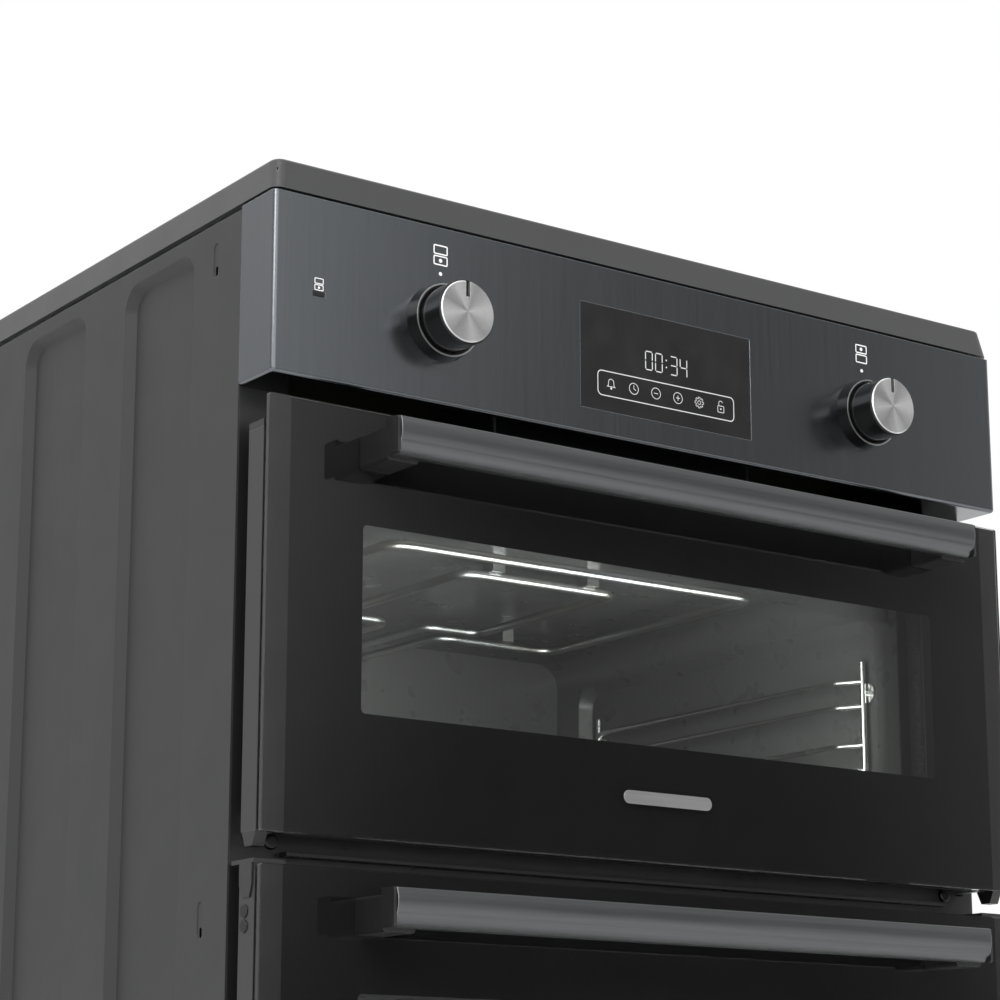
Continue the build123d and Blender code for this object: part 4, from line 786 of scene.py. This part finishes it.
def display_marks():
    """The clock digits and the row of touch keys in a rounded outline."""
    low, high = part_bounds("display_glass")
    middle = (low.x + high.x) / 2 / MM
    base = low.z / MM - 4.0
    marks = Prints(facing_front(low.y), MARK_THICKNESS)
    row = base + 26.7
    marks.frame(middle - 0.6, row - 0.2, 57.0, 8.2, 3.2, 0.6)
    for u, v in zip((-18.2, -9.9, 2.6, 10.9), "0034"):
        digit(marks, v, middle + u, base + 41.8, 5.6, 12.4, 0.65)
    for height in (46.0, 50.8):
        marks.disc(middle - 0.8, base + height, 0.55, 12)
    line = 0.42
    bell(marks, middle - 46.8, row, line)
    clock(marks, middle - 28.2, row, line)
    signed(marks, middle - 9.8, row, line, False)
    signed(marks, middle + 8.6, row, line, True)
    gear(marks, middle + 26.7, row, line)
    padlock(marks, middle + 45.2, row, line)
    marks.piece("display_marks", "carcass", LIT_INK)


def bezel_rings():
    """The bright turned edge on the front of each knob's bezel."""
    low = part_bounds("knob_bezels")[0]
    for side, name in ((-1, "left"), (1, "right")):
        def front(point, side=side):
            return point.x * side > 0 and point.y < low.y + 0.1 * MM
        box = part_box("knob_bezels", front)
        u, v = ((box[0][i] + box[1][i]) / 2 / MM for i in (0, 2))
        ring = Prints(facing_front(low.y), 0.2)
        ring.circle(u, v, (box[1].x - box[0].x) / 2 / MM - 0.55, 1.0, 96)
        ring.piece(f"{name}_bezel_ring", "carcass", BADGE)


def hob_marks():
    """Rings round the four cooking zones and the touch row near the front edge."""
    low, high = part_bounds("hob_glass")
    marks = Prints(lambda u, v, lift: (u * MM, v * MM, high.z + lift * MM), MARK_THICKNESS)
    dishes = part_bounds("heater_dishes")
    mid_y = (dishes[0].y + dishes[1].y) / 2
    for side_x in (-1, 1):
        for side_y in (-1, 1):
            def near(point, side_x=side_x, side_y=side_y):
                return point.x * side_x > 0 and (point.y - mid_y) * side_y > 0
            box = part_box("heater_dishes", near)
            u, v = ((box[0][i] + box[1][i]) / 2 / MM for i in (0, 1))
            radius = (box[1].x - box[0].x) / 2 / MM
            marks.circle(u, v, radius, 0.9, 96)
            marks.circle(u, v, radius - 2.6, 0.35, 96)
    touch = low.y / MM + 24.0
    for index in range(4):
        u = -105.0 + 70.0 * index
        signed(marks, u - 9.0, touch, 0.5, False)
        signed(marks, u + 9.0, touch, 0.5, True)
        marks.disc(u, touch, 0.9)
    marks.piece("hob_marks", "carcass", GREY_INK)


# ---------------------------------------------------------------- insulation

QUILT = 92.0 * MM
STITCH = 7.0 * MM
STITCH_DEPTH = 3.6 * MM
# places across one quilt cell where the surface is cut, from a stitch line to the next
QUILT_CUTS = (0.0, 3.5, 8.0, 16.0, 31.0, 46.0, 61.0, 76.0, 84.0, 88.5)


def blanket(name, test):
    """A mineral-wool wrap with sewn quilting, cut from the outline of its CAD solid."""
    mesh = bmesh.new()
    mesh.from_mesh(NODES["oven_insulation"].data)
    doomed = [vertex for vertex in mesh.verts if not test(vertex.co)]
    bmesh.ops.delete(mesh, geom=doomed, context="VERTS")
    bmesh.ops.remove_doubles(mesh, verts=mesh.verts, dist=1e-5)
    bmesh.ops.dissolve_limit(mesh, angle_limit=0.01, verts=mesh.verts, edges=mesh.edges)
    for axis in range(3):
        across = Vector([float(i == axis) for i in range(3)])
        low = min(vertex.co[axis] for vertex in mesh.verts)
        high = max(vertex.co[axis] for vertex in mesh.verts)
        for cell in range(math.floor(low / QUILT), math.ceil(high / QUILT)):
            for cut in QUILT_CUTS:
                place = cell * QUILT + cut * MM
                if low + 1 * MM < place < high - 1 * MM:
                    geometry = mesh.verts[:] + mesh.edges[:] + mesh.faces[:]
                    bmesh.ops.bisect_plane(mesh, geom=geometry, plane_co=across * place, plane_no=across)
    mesh.normal_update()
    moves = []
    for vertex in mesh.verts:
        axis = max(range(3), key=lambda i, n=vertex.normal: abs(n[i]))
        depth = 0.0
        for i in range(3):
            if i != axis:
                offset = abs((vertex.co[i] / QUILT + 0.5) % 1.0 - 0.5) * QUILT
                depth = max(depth, math.exp(-((offset / STITCH) ** 2)))
        ripple = abs(math.sin(vertex.co.x * 61) * math.sin(vertex.co.y * 47 + vertex.co.z * 53))
        moves.append((vertex, vertex.normal * (0.6 * MM + STITCH_DEPTH * depth + 0.4 * MM * ripple)))
    for vertex, move in moves:
        vertex.co -= move
    for face in mesh.faces:
        face.smooth = True
    data = bpy.data.meshes.new(name)
    mesh.to_mesh(data)
    mesh.free()
    piece = adopt(name, data, "carcass", FINISHES["mineral_wool"])
    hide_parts("oven_insulation")


# ---------------------------------------------------------------- studio

def direction(azimuth, elevation):
    """A unit vector: azimuth 0 points to -Y, out of the front, and 90 points to +X."""
    a, e = math.radians(azimuth), math.radians(elevation)
    return Vector((math.sin(a) * math.cos(e), -math.cos(a) * math.cos(e), math.sin(e)))


WORLD_BASE = 0.10
# azimuth, elevation, full within, gone beyond (degrees), strength
WORLD_GLOWS = (
    (-80, 25, 10, 80, 0.62),
    (4, 18, 4, 32, 1.95),
    (74, 12, 12, 33, 0.95),
    (0, 90, 20, 75, 1.10),
    (180, 25, 25, 90, 0.55),
)


def studio_world():
    """White for the camera; soft pools of light for everything else."""
    world = bpy.data.worlds.new("studio")
    bpy.context.scene.world = world
    world.use_nodes = True
    nodes, links = world.node_tree.nodes, world.node_tree.links
    place = nodes.new("ShaderNodeTexCoord")
    total = None
    for azimuth, elevation, inner, outer, strength in WORLD_GLOWS:
        facing = nodes.new("ShaderNodeVectorMath")
        facing.operation = "DOT_PRODUCT"
        links.new(place.outputs["Generated"], facing.inputs[0])
        facing.inputs[1].default_value = direction(azimuth, elevation)
        pool = nodes.new("ShaderNodeMapRange")
        pool.interpolation_type = "SMOOTHSTEP"
        pool.inputs["From Min"].default_value = math.cos(math.radians(outer))
        pool.inputs["From Max"].default_value = math.cos(math.radians(inner))
        pool.inputs["To Max"].default_value = strength
        links.new(facing.outputs["Value"], pool.inputs["Value"])
        add = nodes.new("ShaderNodeMath")
        links.new(pool.outputs["Result"], add.inputs[0])
        if total:
            links.new(total, add.inputs[1])
        else:
            add.inputs[1].default_value = WORLD_BASE
        total = add.outputs[0]
    lighting = nodes["Background"]
    lighting.inputs["Color"].default_value = (1, 1, 1, 1)
    links.new(total, lighting.inputs["Strength"])
    white = nodes.new("ShaderNodeBackground")
    white.inputs["Color"].default_value = (1, 1, 1, 1)
    path = nodes.new("ShaderNodeLightPath")
    mix = nodes.new("ShaderNodeMixShader")
    links.new(path.outputs["Is Camera Ray"], mix.inputs[0])
    links.new(lighting.outputs[0], mix.inputs[1])
    links.new(white.outputs[0], mix.inputs[2])
    links.new(mix.outputs[0], nodes["World Output"].inputs["Surface"])


def softbox(name, place, target, size, watts, inside=False):
    """A rectangular studio light."""
    data = bpy.data.lights.new(name, "AREA")
    data.shape = "RECTANGLE"
    data.size, data.size_y = size
    data.energy = watts
    light = bpy.data.objects.new(name, data)
    light.location = place
    light.rotation_euler = (Vector(target) - Vector(place)).to_track_quat("-Z", "Y").to_euler()
    light.visible_camera = False
    light.visible_transmission = not inside
    bpy.context.scene.collection.objects.link(light)


OVEN_WATTS = {"upper": 1.0, "lower": 1.2}


def lights():
    """One large key on the left, and a small one inside each oven, behind the door."""
    softbox("key", (-2.2, -2.6, 2.6), (0, 0, 0.55), (1.6, 1.6), 55.0)
    for door in ("upper", "lower"):
        low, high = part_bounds(f"{door}_oven_liner")
        middle = (low + high) / 2
        place = (middle.x, low.y + 12 * MM, middle.z)
        size = (0.40, (high.z - low.z) * 0.5)
        softbox(f"{door}_oven_light", place, (middle.x, high.y, middle.z), size, OVEN_WATTS[door], True)


def floor():
    """A pale studio floor."""
    bpy.ops.mesh.primitive_grid_add(x_subdivisions=8, y_subdivisions=8, size=24)
    piece = bpy.context.object
    piece.name = "studio_floor"
    made = Finish("floor_pale", roughness=0.75)
    made.colour(made.noise(1.5, 3), (0.3, grey(0.78)), (0.7, grey(0.82)))
    made.rough(made.noise(3, 2), 0.7, 0.8)
    piece.data.materials.append(made.material)


def camera():
    """A long lens, low on the left, that looks up at the hob corner."""
    data = bpy.data.cameras.new("camera")
    data.lens = 95.47
    data.sensor_width = 36.0
    data.shift_y = 0.06
    data.clip_end = 100.0
    piece = bpy.data.objects.new("camera", data)
    piece.location = (-1.0567, -1.5729, 0.3092)
    piece.rotation_euler = (math.radians(90 + 12.864), 0.0, math.radians(-35.466))
    bpy.context.scene.collection.objects.link(piece)
    bpy.context.scene.camera = piece


BLACK_FRIT = frit("frit_black", 0.011)
BAND_FRIT = frit("frit_band", 0.034)
BADGE = brushed("badge_satin", 0.42, 0.34, ALONG_X, (0, 0, 1))
WHITE_INK = ink("ink_white", 0.86)
GREY_INK = ink("ink_grey", 0.32)
LIT_INK = ink("ink_lit", 0.62, glow=0.08)

dress_cad()
door_frit("upper", 73.8, 70.6)
door_frit("lower", 60.0, 70.7)
door_badge()
fascia_marks()
display_marks()
bezel_rings()
hob_marks()

split = (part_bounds("upper_door_glass")[0].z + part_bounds("lower_door_glass")[1].z) / 2
gasket("upper", lambda point: point.z > split)
gasket("lower", lambda point: point.z < split)
blanket("upper_insulation_blanket", lambda point: point.z > split)
blanket("lower_insulation_blanket", lambda point: point.z < split)

studio_world()
lights()
floor()
camera()
bpy.context.scene.view_settings.view_transform = "Standard"
